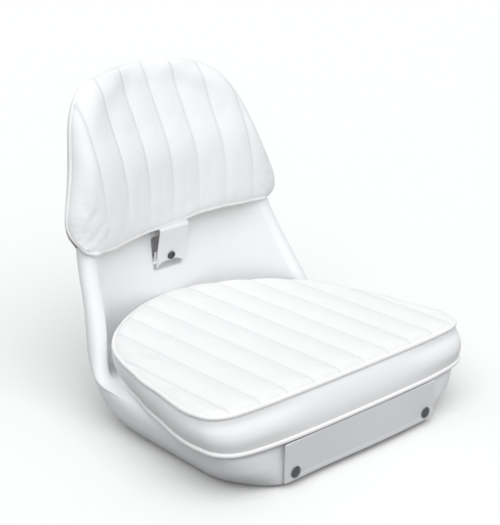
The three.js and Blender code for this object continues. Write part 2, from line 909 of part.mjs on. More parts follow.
// Socket that grips the stud: a cup open to the rear, with a hole for the
// cap's barrel
function snapSocket() {
  const floor = cupFloor + fit;
  return turned([
    [barrelRadius + fit, 0],
    [socketRadius, 0],
    [socketRadius, socketHeight],
    [socketBore, socketHeight],
    [socketBore, floor],
    [barrelRadius + fit, floor],
    [barrelRadius + fit, 0],
  ]);
}

// Stud with its flange on the face at zero, its head towards -Y and a shank
// behind that may end in a rolled rim
function snapStud(shankRadius, shankLength, rimAt = 0) {
  const reach = socketHeight / 2;
  const profile = [];
  if (rimAt > 0) {
    profile.push([0, rimAt + flangeThickness]);
    profile.push([rolledRim, rimAt + flangeThickness]);
    profile.push([rolledRim, rimAt]);
    profile.push([shankRadius, rimAt]);
  } else {
    profile.push([0, shankLength]);
    profile.push([shankRadius, shankLength - shankRadius]);
  }
  profile.push([shankRadius, 0]);
  profile.push([studFlange, 0]);
  profile.push([studFlange, -flangeThickness]);
  profile.push([studNeck, -flangeThickness]);
  profile.push([studNeck, -reach * neckShare]);
  profile.push([studHead, -reach * headShare]);
  profile.push([studTip, -reach - flangeThickness]);
  profile.push([0, -reach - flangeThickness]);
  return turned(profile.reverse());
}

const snapStack = sheetThickness / 2 + fit + socketHeight + fit + flangeThickness;

// Front flap, hung from the lower welt and snapped to the shell
const snapFace = -shellFront * rowAt(tubShares, flapSnapHeight / deckHeight)[2];
const flapFace = snapFace - fit - snapStack;
const flapHinge = seatHemHeight - seatHemDrop - weltRadius - fit - sheetThickness / 2;

function roundTopStrip(width, length, thickness) {
  const profile = new THREE.Shape();
  const radius = thickness / 2;
  profile.moveTo(-radius, -length);
  profile.lineTo(radius, -length);
  profile.lineTo(radius, 0);
  profile.absarc(0, 0, radius, 0, Math.PI, false);
  profile.lineTo(-radius, -length);
  const strip = new THREE.ExtrudeGeometry(profile, {
    depth: width, bevelEnabled: false, curveSegments: 4,
  });
  strip.translate(0, 0, -width / 2);
  strip.rotateX(Math.PI / 2);
  strip.rotateZ(Math.PI / 2);
  return strip;
}

function makeFlap() {
  const hinge = new THREE.Group();
  hinge.position.set(0, flapFace, flapHinge);
  seat.add(hinge);
  let flap = toSolid(roundTopStrip(2 * flapHalfWidth, flapHinge - flapBottom, sheetThickness));
  for (const [, x] of flapSnapSides) {
    flap = flap.subtract(frontPost(barrelRadius + fit, -overrun / 2, overrun, x,
      flapSnapHeight - flapHinge));
  }
  addPiece('front_flap', toGeometry(flap), vinyl, hinge);
  for (const [side, x] of flapSnapSides) {
    const cap = addPiece(`flap_cap_${side}`, snapCap(capRadius), chrome, hinge);
    cap.position.set(x, -sheetThickness / 2 - fit, flapSnapHeight - flapHinge);
    const socket = addPiece(`flap_socket_${side}`, snapSocket(), chrome, hinge);
    socket.position.set(x, sheetThickness / 2 + fit, flapSnapHeight - flapHinge);
    const stud = addPiece(`shell_stud_${side}`, snapStud(screwRadius, screwLength), chrome);
    stud.position.set(x, snapFace - fit, flapSnapHeight);
  }
}

// Hood

function hoodHemLevel(x) {
  return hoodHem + hemLift * rowAt(hemLiftShares, x / hoodHalfWidth)[1];
}

const hoodRise = hoodTop - hoodHem;
const hoodEdge = smoothOpen(hoodEdgeShares.map(([across, up]) =>
  new THREE.Vector3(across * hoodHalfWidth, 0, hoodHem + up * hoodRise)), 24);
const hoodCorner = hoodEdge[0].x;
const slackCorner = new THREE.Vector3(
  cornerPull - hoodCorner, 0, hoodHemLevel(cornerPull - hoodCorner) + weltRadius);
const hoodEdgeLine = [...hoodEdge, ...hoodEdge.slice(0, -1).reverse()
  .map((p) => new THREE.Vector3(-p.x, 0, p.z)), slackCorner];
const hoodEdgePath = hoodEdgeLine.map((p) => new THREE.Vector2(p.x, p.z));
const hoodHemLine = evenly(-hoodCorner, hoodCorner, hemSteps)
  .map((x) => new THREE.Vector3(x, 0, hoodHemLevel(x)));
const hoodOutline = [...hoodHemLine.slice(1, -1), ...hoodEdgeLine]
  .map((p) => new THREE.Vector2(p.x, p.z));

// Depth of the seam that joins the hood's front and rear, beside the shell's
// lip and then in the middle of its top edge, evened out along its run. The
// front follows it, but keeps before the shell at the slack corner.
const hoodSeams = hoodEdgeLine.map((place, i) => {
  const near = hoodEdgeLine.slice(Math.max(0, i - seamSpan), i + seamSpan + 1);
  const depths = near.map((p) => midWall(backAt(Math.min(p.z, shellTop)), p.x) - edgeForward);
  const even = depths.reduce((sum, depth) => sum + depth) / depths.length;
  const slack = i + seamSpan >= hoodEdgeLine.length;
  const before = shellFace(place.x, place.z, -1, backWeltRadius + wearRoom);
  return { front: slack ? Math.min(even, before) : even, rear: even };
});

// Distance from a place on the pad to the hood's side and top edge, and the
// seam's depths there
function nearestEdge(x, z) {
  const { distance, before, part } = nearestOn(hoodEdgePath, x, z);
  const depth = (side) => THREE.MathUtils.lerp(
    hoodSeams[before][side], hoodSeams[before + 1][side], part);
  return { distance, front: depth('front'), rear: depth('rear') };
}

// Face of the shell's back grown by a distance, towards -Y where the side is
// -1: along the wall, then round its lip
function shellFace(x, z, side, grow) {
  const sizes = backAt(Math.min(z, shellTop));
  const radius = sizes.thickness / 2 + grow;
  const over = Math.abs(x) - sizes.reach;
  const endSlope = sweepSlope(sizes, sizes.reach);
  const turn = radius * -endSlope / Math.hypot(1, endSlope);
  const lip = midWall(sizes, sizes.reach);
  if (side > 0 && over > 0 && over < turn) {
    return lip + radius * Math.hypot(1, endSlope) + over * endSlope;
  }
  if (over >= side * turn) {
    return lip + side * Math.sqrt(Math.max(0, radius ** 2 - over ** 2));
  }
  return midWall(sizes, x) + side * radius * Math.hypot(1, sweepSlope(sizes, x));
}

// A depth drawn smooth over the back, as a cover lies: the outermost depth of
// each neighbourhood, then the mean of the neighbourhood, taken from a table
function drawnSmooth(depth, outermost) {
  const reach = hoodHalfWidth + drawnMargin;
  const across = Math.ceil(2 * reach / drawnCell);
  const up = Math.ceil((hoodTop - rearHem + 2 * drawnMargin) / drawnCell);
  const column = (x) => THREE.MathUtils.clamp((x + reach) / drawnCell, 0, across);
  const row = (z) => THREE.MathUtils.clamp((z - rearHem + drawnMargin) / drawnCell, 0, up);
  let table = evenly(0, up, up).map((j) => evenly(0, across, across).map((i) =>
    depth(i * drawnCell - reach, j * drawnCell + rearHem - drawnMargin)));
  const gather = (span, combine) => {
    table = table.map((line, j) => line.map((_, i) => combine(
      table.slice(Math.max(0, j - span), j + span + 1)
        .flatMap((other) => other.slice(Math.max(0, i - span), i + span + 1)))));
  };
  gather(drawnSpan, (depths) => outermost(...depths));
  for (let round = 0; round < drawnSpan; round++) {
    gather(1, (depths) => depths.reduce((sum, value) => sum + value) / depths.length);
  }
  return (x, z) => {
    const i = Math.min(across - 1, Math.floor(column(x)));
    const j = Math.min(up - 1, Math.floor(row(z)));
    const part = column(x) - i;
    const level = (line) => line[i] + (line[i + 1] - line[i]) * part;
    return level(table[j]) + (level(table[j + 1]) - level(table[j])) * (row(z) - j);
  };
}

// Front and rear of the hood before they are rolled to their seam. The front
// is the pad's own face or the shell's with the panel's thickness before it.
const drawnFront = drawnSmooth((x, z) => {
  const setback = rowAt(padFaceShares, Math.max(0, (z - hoodHem) / hoodRise))[1];
  const sag = padSag * Math.min(1, Math.abs(x) / (hoodHalfWidth * padSagShare)) ** 2;
  const clear = shellFace(x, z, -1, hoodPanelThickness + 2 * fit);
  return Math.min(padFront + padFall * setback - sag, clear);
}, Math.min);
const drawnRear = drawnSmooth(
  (x, z) => shellFace(x, z, 1, hoodRearClearance + sheetThickness), Math.max);

function padFace(x, z) {
  const edge = nearestEdge(x, z);
  const seam = edge.front - backWeltRadius / 2 - hoodEdgeThickness;
  const inside = Math.max(0, edge.distance - weltRadius - fit);
  return seam + (drawnFront(x, z) - seam) * rounded(inside, edgeRoll);
}

function hoodRearFace(x, z) {
  const edge = nearestEdge(x, z);
  const seam = edge.rear + backWeltRadius + seamRoom + sheetThickness;
  return seam + (drawnRear(x, z) - seam) * rounded(edge.distance, rearRoll);
}

// Thickness along Y of a sheet that is evenly thick across its slope
function slantThickness(face, x, z, thickness) {
  const step = slopeStep;
  const alongX = (face(x + step, z) - face(x - step, z)) / (2 * step);
  const alongZ = (face(x, z + step) - face(x, z - step)) / (2 * step);
  return thickness * Math.min(steepest, Math.hypot(1, alongX, alongZ));
}

// The pad is sewn flat at the hood's edges, thick away from them
function panelThickness(x, z) {
  const inside = Math.min(nearestEdge(x, z).distance, z - hoodHemLevel(x));
  const share = THREE.MathUtils.clamp(inside / padMargin, 0, 1);
  return hoodEdgeThickness + (hoodPanelThickness - hoodEdgeThickness) * share;
}

// Inner face of the front panel, kept clear of the rear one along their seam
function padBack(x, z) {
  const back = padFace(x, z) + slantThickness(padFace, x, z, panelThickness(x, z));
  const edge = nearestEdge(x, z);
  return Math.max(padFace(x, z) + fit, Math.min(back, edge.front + backWeltRadius + edge.distance));
}

function hoodPlace(x, z, y) {
  return new THREE.Vector3(x, y, z);
}

// Channelled front panel of the hood, rolled back at its sides and top
function makeHoodFront() {
  const outline = offsetOutline(hoodOutline, weltRadius + 2 * fit);
  const columns = panelColumns(outline, backPitch, 0, channelSteps);
  const front = (x, z) => padFace(x, z) - channelRise(x, z);
  const solid = outlinedSlab(outline, columns, hoodRows, padBack, front, hoodPlace)
    .subtract(backClearance(wearRoom));
  addPiece('back_front_panel', toGeometry(largestOf(solid)), vinyl);
}

function channelRise(x, z) {
  const fade = Math.min(1, nearestEdge(x, z).distance / edgeRoll);
  return (channel(x, backPitch, 0) + channelDepth / 2) * fade;
}

function makeHoodFoam() {
  const halfWidth = hoodHalfWidth * foamWidthShare;
  const outline = offsetOutline(hoodOutline, foamInset).map((p) => new THREE.Vector2(
    THREE.MathUtils.clamp(p.x, -halfWidth, halfWidth), p.y));
  const columns = panelColumns(outline, backPitch, 0, 2);
  const front = (x, z) => padBack(x, z) + foamClearance;
  const back = (x, z) => Math.max(front(x, z) + fit, midWall(backAt(Math.min(z, shellTop)), x));
  const solid = outlinedSlab(outline, columns, hoodRows, back, front, hoodPlace)
    .subtract(backClearance(wearRoom));
  addPiece('back_foam', toGeometry(largestOf(solid)), foam);
}

function makeHoodRear() {
  const lowered = offsetOutline(hoodOutline, fit).map((p, i) => (
    i < hoodHemLine.length - 2 || i === hoodOutline.length - 1
      ? new THREE.Vector2(p.x, rearHem) : p));
  const columns = panelColumns(lowered, backPitch, 0, 2);
  const front = (x, z) => Math.min(hoodRearFace(x, z) - fit, Math.max(
    hoodRearFace(x, z) - slantThickness(hoodRearFace, x, z, sheetThickness),
    nearestEdge(x, z).rear + backWeltRadius + seamRoom));
  const solid = outlinedSlab(lowered, columns, hoodRows, hoodRearFace, front, hoodPlace)
    .subtract(backClearance(wearRoom));
  addPiece('back_rear_panel', toGeometry(largestOf(solid)), vinyl);
}

function makeHoodWelts() {
  const edge = hoodEdgeLine.map((p, i) => new THREE.Vector3(p.x, hoodSeams[i].front, p.z));
  const last = THREE.MathUtils.lerp(slackCorner.x, hoodHemLine[1].x, cornerMeet);
  edge.push(new THREE.Vector3(last, hemFace(last), hoodHemLevel(last)));
  addPiece('back_edge_welt', rod(edge, backWeltRadius), piping);
  const hem = hoodHemLine.slice(1, -1).map((p) => new THREE.Vector3(
    p.x, hemFace(p.x), p.z));
  addPiece('back_hem_welt', rod(hem, weltRadius), piping);
}

// Middle of the panel's thickness at the hem, just above its welt
function hemFace(x) {
  const level = hoodHemLevel(x);
  return Math.min(padFace(x, level + weltRadius) + hoodEdgeThickness / 2,
    shellFace(x, level, -1, weltRadius + wearRoom),
    shellFace(x, level - weltRadius, -1, weltRadius + wearRoom));
}

// Front strap and rear tab

const strapHinge = {
  y: hemFace(0),
  z: hoodHemLevel(-strapWidth / 2) - weltRadius - 2 * fit - sheetThickness / 2,
};
const strapLength = (strapHinge.z - strapBottom) / Math.cos(strapLean);
const strapSnap = (strapHinge.z - strapSnapHeight) / Math.cos(strapLean);

function makeStrap() {
  const hinge = new THREE.Group();
  hinge.position.set(0, strapHinge.y, strapHinge.z);
  hinge.rotation.x = strapLean;
  seat.add(hinge);
  let strap = toSolid(roundTopStrip(strapWidth, strapLength, sheetThickness));
  strap = strap.subtract(frontPost(barrelRadius + fit, -overrun / 2, overrun, 0, -strapSnap));
  const arch = new THREE.Shape();
  arch.absellipse(0, -strapLength, strapArchHalfWidth, strapArchRise, 0, 2 * Math.PI, false, 0);
  strap = strap.subtract(toSolid(uprightPrism(arch, -overrun / 2, overrun, roundSteps)));
  addPiece('front_strap', toGeometry(strap), vinyl, hinge);
  const cap = addPiece('strap_cap', snapCap(strapCapRadius, strapCapHollow), chrome, hinge);
  cap.position.set(0, -sheetThickness / 2 - fit, -strapSnap);
  const socket = addPiece('strap_socket', snapSocket(), chrome, hinge);
  socket.position.set(0, sheetThickness / 2 + fit, -strapSnap);
  const stud = addPiece('tab_stud', snapStud(barrelRadius, 0, sheetThickness + 2 * fit),
    chrome, hinge);
  stud.position.set(0, snapStack, -strapSnap);
}

// Tab sewn to the hood's rear hem. It drops behind the shell, comes forward
// through the slot and ends behind the strap, where it carries the stud.
function makeTab() {
  const lean = new THREE.Vector2(Math.sin(strapLean), -Math.cos(strapLean));
  const across = new THREE.Vector2(Math.cos(strapLean), Math.sin(strapLean));
  const offset = snapStack + fit + sheetThickness / 2;
  const place = (down) => new THREE.Vector2(strapHinge.y, strapHinge.z)
    .addScaledVector(lean, down).addScaledVector(across, offset);
  const rearLine = backAt(tabTop).rear + fit + sheetThickness / 2;
  const tip = place(strapSnap + socketRadius);
  const bend = place((strapHinge.z - tabRise) / Math.cos(strapLean));
  const line = [
    tip,
    bend,
    new THREE.Vector2(rearLine, tabRise),
    new THREE.Vector2(rearLine, tabTop),
  ];
  const profile = thickLine(line, sheetThickness);
  const strip = new THREE.ExtrudeGeometry(new THREE.Shape(profile), {
    depth: tabWidth, bevelEnabled: false,
  });
  strip.translate(0, 0, -tabWidth / 2);
  strip.rotateX(Math.PI / 2);
  strip.rotateZ(Math.PI / 2);
  const hole = post(barrelRadius + fit, overrun);
  hole.rotateX(strapLean);
  const middle = place(strapSnap);
  hole.translate(0, middle.x, middle.y);
  addPiece('rear_tab', toGeometry(toSolid(strip).subtract(toSolid(hole))), vinyl);
}

// Outline of a line of an even thickness, mitred at its bends
function thickLine(line, thickness) {
  const sides = [[], []];
  line.forEach((point, i) => {
    const before = line[Math.max(0, i - 1)];
    const after = line[Math.min(line.length - 1, i + 1)];
    const first = (i > 0 ? point.clone().sub(before) : after.clone().sub(point)).normalize();
    const second = (i < line.length - 1 ? after.clone().sub(point) : first.clone()).normalize();
    const normal = new THREE.Vector2(
      -(first.y + second.y), first.x + second.x).normalize();
    const mitre = thickness / 2 / normal.dot(new THREE.Vector2(-first.y, first.x));
    sides[0].push(point.clone().addScaledVector(normal, mitre));
    sides[1].push(point.clone().addScaledVector(normal, -mitre));
  });
  return [...sides[1], ...sides[0].reverse()];
}

makeShell();
makeInserts();
makeBottomPanel();
makeSeatFoam();
makeBoxing();
makeSeatPanel();
makeSeatWelts();
makeFlap();
makeHoodFoam();
makeHoodFront();
makeHoodRear();
makeHoodWelts();
makeStrap();
makeTab();

export default seat;
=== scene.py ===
import math
import bpy
import numpy as np
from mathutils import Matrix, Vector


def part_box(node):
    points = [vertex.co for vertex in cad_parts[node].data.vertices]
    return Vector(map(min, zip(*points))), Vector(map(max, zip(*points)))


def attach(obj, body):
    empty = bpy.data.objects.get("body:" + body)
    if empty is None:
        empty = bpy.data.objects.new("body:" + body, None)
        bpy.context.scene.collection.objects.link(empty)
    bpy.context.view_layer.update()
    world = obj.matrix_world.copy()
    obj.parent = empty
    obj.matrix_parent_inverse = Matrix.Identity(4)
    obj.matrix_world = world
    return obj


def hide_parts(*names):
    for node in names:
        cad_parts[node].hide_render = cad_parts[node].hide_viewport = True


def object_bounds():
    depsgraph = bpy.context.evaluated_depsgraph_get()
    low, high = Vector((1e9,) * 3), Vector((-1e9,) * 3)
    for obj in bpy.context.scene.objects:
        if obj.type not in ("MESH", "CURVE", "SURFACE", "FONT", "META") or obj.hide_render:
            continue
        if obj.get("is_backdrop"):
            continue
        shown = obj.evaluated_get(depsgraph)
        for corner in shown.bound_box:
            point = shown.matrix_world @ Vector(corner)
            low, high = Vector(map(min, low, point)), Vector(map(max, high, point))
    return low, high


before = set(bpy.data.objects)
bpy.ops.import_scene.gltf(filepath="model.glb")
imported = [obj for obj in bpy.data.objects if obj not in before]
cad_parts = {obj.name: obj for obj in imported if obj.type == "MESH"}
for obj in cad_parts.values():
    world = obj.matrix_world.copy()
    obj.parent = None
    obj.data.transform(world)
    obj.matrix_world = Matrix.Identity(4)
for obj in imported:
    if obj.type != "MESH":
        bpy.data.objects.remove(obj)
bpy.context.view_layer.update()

bpy.ops.object.select_all(action="DESELECT")
mm = 0.001

# Camera. It stands to the left of the seat's front and a little above it, as
# the photographer did, with a moderate tele lens.
bpy.ops.object.camera_add(
    location=(-1.0571, -1.1496, 0.7804),
    rotation=(math.radians(69.86), 0, math.radians(-41.79)),
)
camera = bpy.context.object
camera.data.lens = 87.54
camera.data.sensor_width = 36
camera.data.dof.use_dof = False
bpy.context.scene.camera = camera
bpy.context.scene.view_settings.view_transform = "Standard"

# Studio. A pale floor, an even pale surround and one broad soft lamp above
# the seat's front, at a level where white vinyl renders as written.


def set_all(thing, settings):
    """Sets several properties of a thing."""
    for key, value in settings.items():
        setattr(thing, key, value)


def join(tree, node, **inputs):
    """Sets a node's inputs, each to a value or to another node's output."""
    for key, value in inputs.items():
        socket = node.inputs[int(key[1:]) if key[0] == "_" else key.replace("_", " ")]
        if isinstance(value, bpy.types.NodeSocket):
            tree.links.new(value, socket)
        else:
            socket.default_value = value
    return node


def add_node(tree, kind, settings=None, **inputs):
    """A node with its settings and inputs."""
    node = tree.nodes.new(kind)
    set_all(node, settings or {})
    return join(tree, node, **inputs)


def arithmetic(tree, operation, *values):
    """The result of a calculation with one to three values."""
    inputs = {f"_{k}": value for k, value in enumerate(values)}
    return add_node(tree, "ShaderNodeMath", {"operation": operation}, **inputs).outputs[0]


def mapped(tree, value, least, most, start=0.0, end=1.0, kind="LINEAR"):
    """A value carried over from the range start to end to the range least to most."""
    return add_node(tree, "ShaderNodeMapRange", {"interpolation_type": kind}, Value=value,
                    From_Min=start, From_Max=end, To_Min=least, To_Max=most).outputs[0]


def mixed(tree, share, first, second):
    """A colour between two others."""
    ends = [end if isinstance(end, bpy.types.NodeSocket) else (*end, 1)
            for end in (first, second)]
    return add_node(tree, "ShaderNodeMix", {"data_type": "RGBA"},
                    _0=share, _6=ends[0], _7=ends[1]).outputs[2]


def noise(tree, place, scale, detail=2.0, roughness=0.5):
    """Smooth noise over a place."""
    return add_node(tree, "ShaderNodeTexNoise", None, Vector=place, Scale=scale,
                    Detail=detail, Roughness=roughness).outputs["Fac"]


def seen_rays(tree):
    """One where a ray shows the surround itself, nought where it only lights the seat."""
    rays = add_node(tree, "ShaderNodeLightPath").outputs
    seen = arithmetic(tree, "MAXIMUM", rays["Is Camera Ray"], rays["Is Glossy Ray"])
    return arithmetic(tree, "MAXIMUM", seen, rays["Is Transmission Ray"])


def new_material(name, space="Object"):
    """A node material, with its tree, its shader and the place on the object."""
    material = bpy.data.materials.new(name)
    material.use_nodes = True
    tree = material.node_tree
    place = add_node(tree, "ShaderNodeTexCoord").outputs[space]
    return material, tree, tree.nodes["Principled BSDF"], place


surround_tint, surround_white = (0.975, 0.993, 1.01), (1, 1, 1)
surround_light, surround_shown = 0.56, 1.0
world = bpy.data.worlds.new("studio_surround")
bpy.context.scene.world = world
world.use_nodes = True
sky = world.node_tree
sky.nodes.clear()
seen = seen_rays(sky)
level = mapped(sky, seen, surround_light, surround_shown)
pale = add_node(sky, "ShaderNodeBackground", None, Strength=level,
                Color=mixed(sky, seen, surround_tint, surround_white))
add_node(sky, "ShaderNodeOutputWorld", None, Surface=pale.outputs[0])

bpy.ops.object.light_add(type="SUN", location=(0.3, -0.9, 1.8))
lamp = bpy.context.object
lamp.name = "soft_lamp"
lamp.data.energy = 1.68
lamp.data.angle = math.radians(75)
aim = np.array([0.33, 0.54, -1])
lamp.rotation_euler = (math.acos(-aim[2] / np.linalg.norm(aim)), 0, math.atan2(-aim[0], aim[1]))

floor_radius, floor_drop, floor_grey = 6, 0.0005, (0.17, 0.17, 0.17)
bpy.ops.mesh.primitive_circle_add(vertices=96, radius=floor_radius, fill_type="NGON",
                                  location=(0, 0, -floor_drop))
floor = bpy.context.object
floor.name = "studio_floor"
floor_paint, tree, shader, place = new_material("floor_paint", "Generated")
shown = mixed(tree, noise(tree, place, 3.0, 3.0), (0.99, 0.99, 0.985), (1.0, 1.0, 0.995))
join(tree, shader, Base_Color=mixed(tree, seen_rays(tree), floor_grey, shown),
     Roughness=0.9, Specular_IOR_Level=0.1)
floor.data.materials.append(floor_paint)
floor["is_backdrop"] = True

# Moulded shell. One hollow polyethylene moulding: a low tub with a flat deck
# and a back whose wings sweep forward. It is lofted section by section, and
# the strap's slot and the small holes are cut through it afterwards.


def shares_at(rows, at):
    """Values of a table of shares between its rows."""
    rows = np.array(rows, float)
    return [np.interp(at, rows[:, 0], rows[:, k]) for k in range(rows.shape[1])]


def grid_form(name, rings, closed=True):
    """A sheet of faces whose rows are set out as the given rings, in mm."""
    rings = np.asarray(rings, float)
    count = rings.shape[1]
    across = count if closed else count - 1
    up = len(rings) - 1
    bpy.ops.object.select_all(action="DESELECT")
    bpy.ops.mesh.primitive_grid_add(x_subdivisions=across, y_subdivisions=up, size=2)
    piece = bpy.context.object
    piece.name = name
    piece.data.name = name
    spots = np.empty(3 * len(piece.data.vertices))
    piece.data.vertices.foreach_get("co", spots)
    spots = spots.reshape(-1, 3)
    i = np.rint((spots[:, 0] + 1) / 2 * across).astype(int) % count
    j = np.rint((spots[:, 1] + 1) / 2 * up).astype(int)
    piece.data.vertices.foreach_set("co", (rings[j, i] * mm).ravel())
    piece.data.update()
    return piece


def pick(piece):
    """Makes a piece the active one and the only one selected."""
    bpy.ops.object.select_all(action="DESELECT")
    piece.select_set(True)
    bpy.context.view_layer.objects.active = piece


def seal(piece, fill=False, nearest=0.00002):
    """Merges the doubles, fills the open ends if asked and turns the faces outwards."""
    pick(piece)
    bpy.ops.object.mode_set(mode="EDIT")
    bpy.ops.mesh.select_all(action="SELECT")
    bpy.ops.mesh.remove_doubles(threshold=nearest)
    if fill:
        bpy.ops.mesh.fill_holes(sides=0)
        bpy.ops.mesh.select_all(action="SELECT")
    bpy.ops.mesh.normals_make_consistent(inside=False)
    bpy.ops.object.mode_set(mode="OBJECT")


def apply_modifier(piece, kind, **settings):
    """Adds one modifier with its settings and applies it."""
    pick(piece)
    modifier = piece.modifiers.new(kind.lower(), kind)
    set_all(modifier, settings)
    bpy.ops.object.modifier_apply(modifier=modifier.name)


def cut_away(piece, cutter):
    """Cuts a closed cutter out of a piece and deletes the cutter."""
    apply_modifier(piece, "BOOLEAN", operation="DIFFERENCE", object=cutter, solver="EXACT")
    bpy.data.objects.remove(cutter)


def finish_piece(piece, material, body, slot, *nodes, crease=50):
    """Shades a piece smoothly, gives it its material, ties it to its body and hides the CAD nodes
    it stands for.
    """
    pick(piece)
    bpy.ops.object.shade_smooth_by_angle(angle=math.radians(crease))
    piece.data.materials.clear()
    piece.data.materials.append(material)
    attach(piece, body)
    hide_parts(*nodes)


def dress(tree, shader, colour, rough, height, strength, distance, **others):
    """Gives a shader its colour, its roughness and a fine relief."""
    bump = add_node(tree, "ShaderNodeBump", None,
                    Strength=strength, Distance=distance, Height=height)
    join(tree, shader, Base_Color=colour, Roughness=rough, Normal=bump.outputs[0], **others)


def new_group(name, size, *results):
    """A shader group from a place and a size to the named values, with both inputs."""
    group = bpy.data.node_groups.new(name, "ShaderNodeTree")
    group.interface.new_socket("Position", in_out="INPUT", socket_type="NodeSocketVector")
    group.interface.new_socket(size, in_out="INPUT", socket_type="NodeSocketFloat")
    for result in results:
        group.interface.new_socket(result, in_out="OUTPUT", socket_type="NodeSocketFloat")
    given = add_node(group, "NodeGroupInput").outputs
    return group, given[0], given[1]


def mirrored_ring(half):
    """A whole ring from its half on the +X side, which ends on X = 0 twice."""
    half = np.array(half, float)
    other = half[-2:0:-1] * [-1, 1, 1]
    return np.concatenate([half, other])[::-1]


deck_height, deck_rise, shell_top = 62, 1, 418
shell_half_width, shell_front, tub_rear = 208, 176, 212
front_flat, corner_depth, flank_middle, flank_square = 128, 44, 42, 2.6
back_foot, back_lean, wing_reach, back_thickness = 208, 56, 108, 28.5
back_rise = shell_top - deck_height - deck_rise
tub_rows = [
    (0, 0.842, 0.978, 0.59, 1.95, 1.6),
    (0.07, 0.878, 0.988, 0.645, 1.85, 1.65),
    (0.2, 0.926, 0.99, 0.71, 1.6, 1.85),
    (0.43, 0.976, 0.99, 0.81, 1.25, 2.4),
    (0.73, 0.998, 0.978, 0.91, 1, 3),
    (0.95, 1, 0.968, 0.98, 1, 3),
    (1, 0.99, 0.957, 1, 1, 3),
]
back_rows = [
    (0, 1, -0.4, 1, 0.98),
    (0.014, 0.995, -0.2, 0.99, 0.81),
    (0.031, 0.982, -0.09, 0.975, 0.77),
    (0.062, 0.963, -0.036, 0.92, 0.85),
    (0.124, 0.935, -0.01, 0.84, 0.92),
    (0.235, 0.885, 0, 0.66, 0.93),
    (0.333, 0.849, 0.064, 0.5, 0.92),
    (0.429, 0.815, 0.18, 0.41, 0.9),
    (0.53, 0.78, 0.33, 0.405, 0.87),
    (0.641, 0.748, 0.48, 0.395, 0.86),
    (0.753, 0.703, 0.64, 0.365, 0.85),
    (0.851, 0.65, 0.77, 0.32, 0.84),
    (0.922, 0.575, 0.88, 0.28, 0.8),
    (0.964, 0.48, 0.95, 0.235, 0.76),
    (0.989, 0.378, 1, 0.185, 0.68),
    (1, 0.272, 1.04, 0.14, 0.45),
]


def tub_ring(row):
    """One level outline of the tub from its row of shares."""
    height, width, front, rear, corner, square = row
    width = shell_half_width * width
    front = -shell_front * front
    rear = tub_rear * rear
    start = front + corner_depth * corner
    level = deck_height * height
    half = []
    for turn in np.linspace(0, math.pi / 2, 11)[:-1]:
        along = max(0, math.cos(turn)) ** (2 / flank_square)
        half.append((width * math.sin(turn) ** (2 / flank_square),
                     flank_middle + (rear - flank_middle) * along, level))
    for part in np.linspace(0, 1, 6):
        half.append((width, flank_middle + (start - flank_middle) * part, level))
    for turn in np.linspace(0, math.pi / 2, 10)[1:]:
        half.append((front_flat + (width - front_flat) * abs(math.cos(turn)) ** (2 / square),
                     start + (front - start) * math.sin(turn) ** (2 / square), level))
    for part in np.linspace(1, 0, 5)[1:]:
        half.append((front_flat * part, front, level))
    return mirrored_ring(half)


def back_at(level):
    """Sizes of the back's wall at a height."""
    share = np.clip((level - deck_height - deck_rise) / back_rise, 0, 1)
    return back_sizes(shares_at(back_rows, share))


def back_sizes(row):
    """Sizes of the back's wall from a row of shares."""
    _, width, lean, wing, thick = row
    thickness = back_thickness * thick
    return {
        "thickness": thickness,
        "front": back_foot + back_lean * lean,
        "reach": shell_half_width * width - thickness / 2,
        "sweep": wing_reach * wing,
    }


def wall_middle(sizes, x):
    """Depth of the middle of the back's wall, whose wings sweep forward."""
    part = np.minimum(1, np.abs(x) / sizes["reach"])
    return sizes["front"] + sizes["thickness"] / 2 - sizes["sweep"] * part ** 4


def wall_slope(sizes, x):
    """How steeply the wall sweeps forward at a place across it."""
    part = np.minimum(1, np.abs(x) / sizes["reach"])
    return -sizes["sweep"] * 4 * part ** 3 / sizes["reach"]


def back_ring(row):
    """One level outline of the back's wall from its row of shares."""
    sizes = back_sizes(row)
    radius = sizes["thickness"] / 2
    reach = sizes["reach"]
    level = deck_height + deck_rise + back_rise * row[0]

    def face(x, side):
        slope = wall_slope(sizes, x)
        length = math.hypot(1, slope)
        return (x - side * radius * slope / length,
                wall_middle(sizes, x) + side * radius / length, level)

    half = [face(reach * math.sin(turn), 1) for turn in np.linspace(0, math.pi / 2, 11)[:-1]]
    heading = math.atan(wall_slope(sizes, reach))
    for part in np.linspace(0, 1, 6):
        turn = heading + math.pi / 2 - math.pi * part
        half.append((reach + radius * math.cos(turn),
                     wall_middle(sizes, reach) + radius * math.sin(turn), level))
    half += [face(reach * math.sin(turn), -1) for turn in np.linspace(math.pi / 2, 0, 14)[1:]]
    return mirrored_ring(half)


shell_rings = [tub_ring(row) for row in tub_rows] + [back_ring(row) for row in back_rows]
shell = grid_form("moulded_shell", shell_rings)
seal(shell, fill=True)
apply_modifier(shell, "SUBSURF", levels=2, render_levels=2)

rim_low, rim_high, rim_inner, rim_rear, rim_roll, rim_fade = 34, 63.5, 120, 96, 17, 70
corner_start, rim_edge = -132, 0.5
bpy.ops.object.mode_set(mode="EDIT")
bpy.ops.mesh.select_mode(type="VERT")
bpy.ops.mesh.select_all(action="DESELECT")
bpy.ops.object.mode_set(mode="OBJECT")
for point in shell.data.vertices:
    x, y, z = point.co / mm
    outer = math.hypot(x, min(0, y + 40)) > rim_inner
    point.select = rim_low < z < rim_high and outer and y < rim_rear
    roll = rim_roll * min(1, max(0, (rim_rear - y) / rim_fade))
    aside = roll - (shell_half_width - rim_edge - abs(x))
    above = roll - (rim_high - rim_edge - z)
    past = math.hypot(aside, above)
    if corner_start < y < rim_rear and aside > 0 and above > 0 and past > roll:
        part = 1 - roll / past
        point.co.x -= math.copysign(part * aside * mm, x)
        point.co.z -= part * above * mm
bpy.ops.object.mode_set(mode="EDIT")
bpy.ops.mesh.vertices_smooth(factor=0.5, repeat=14)
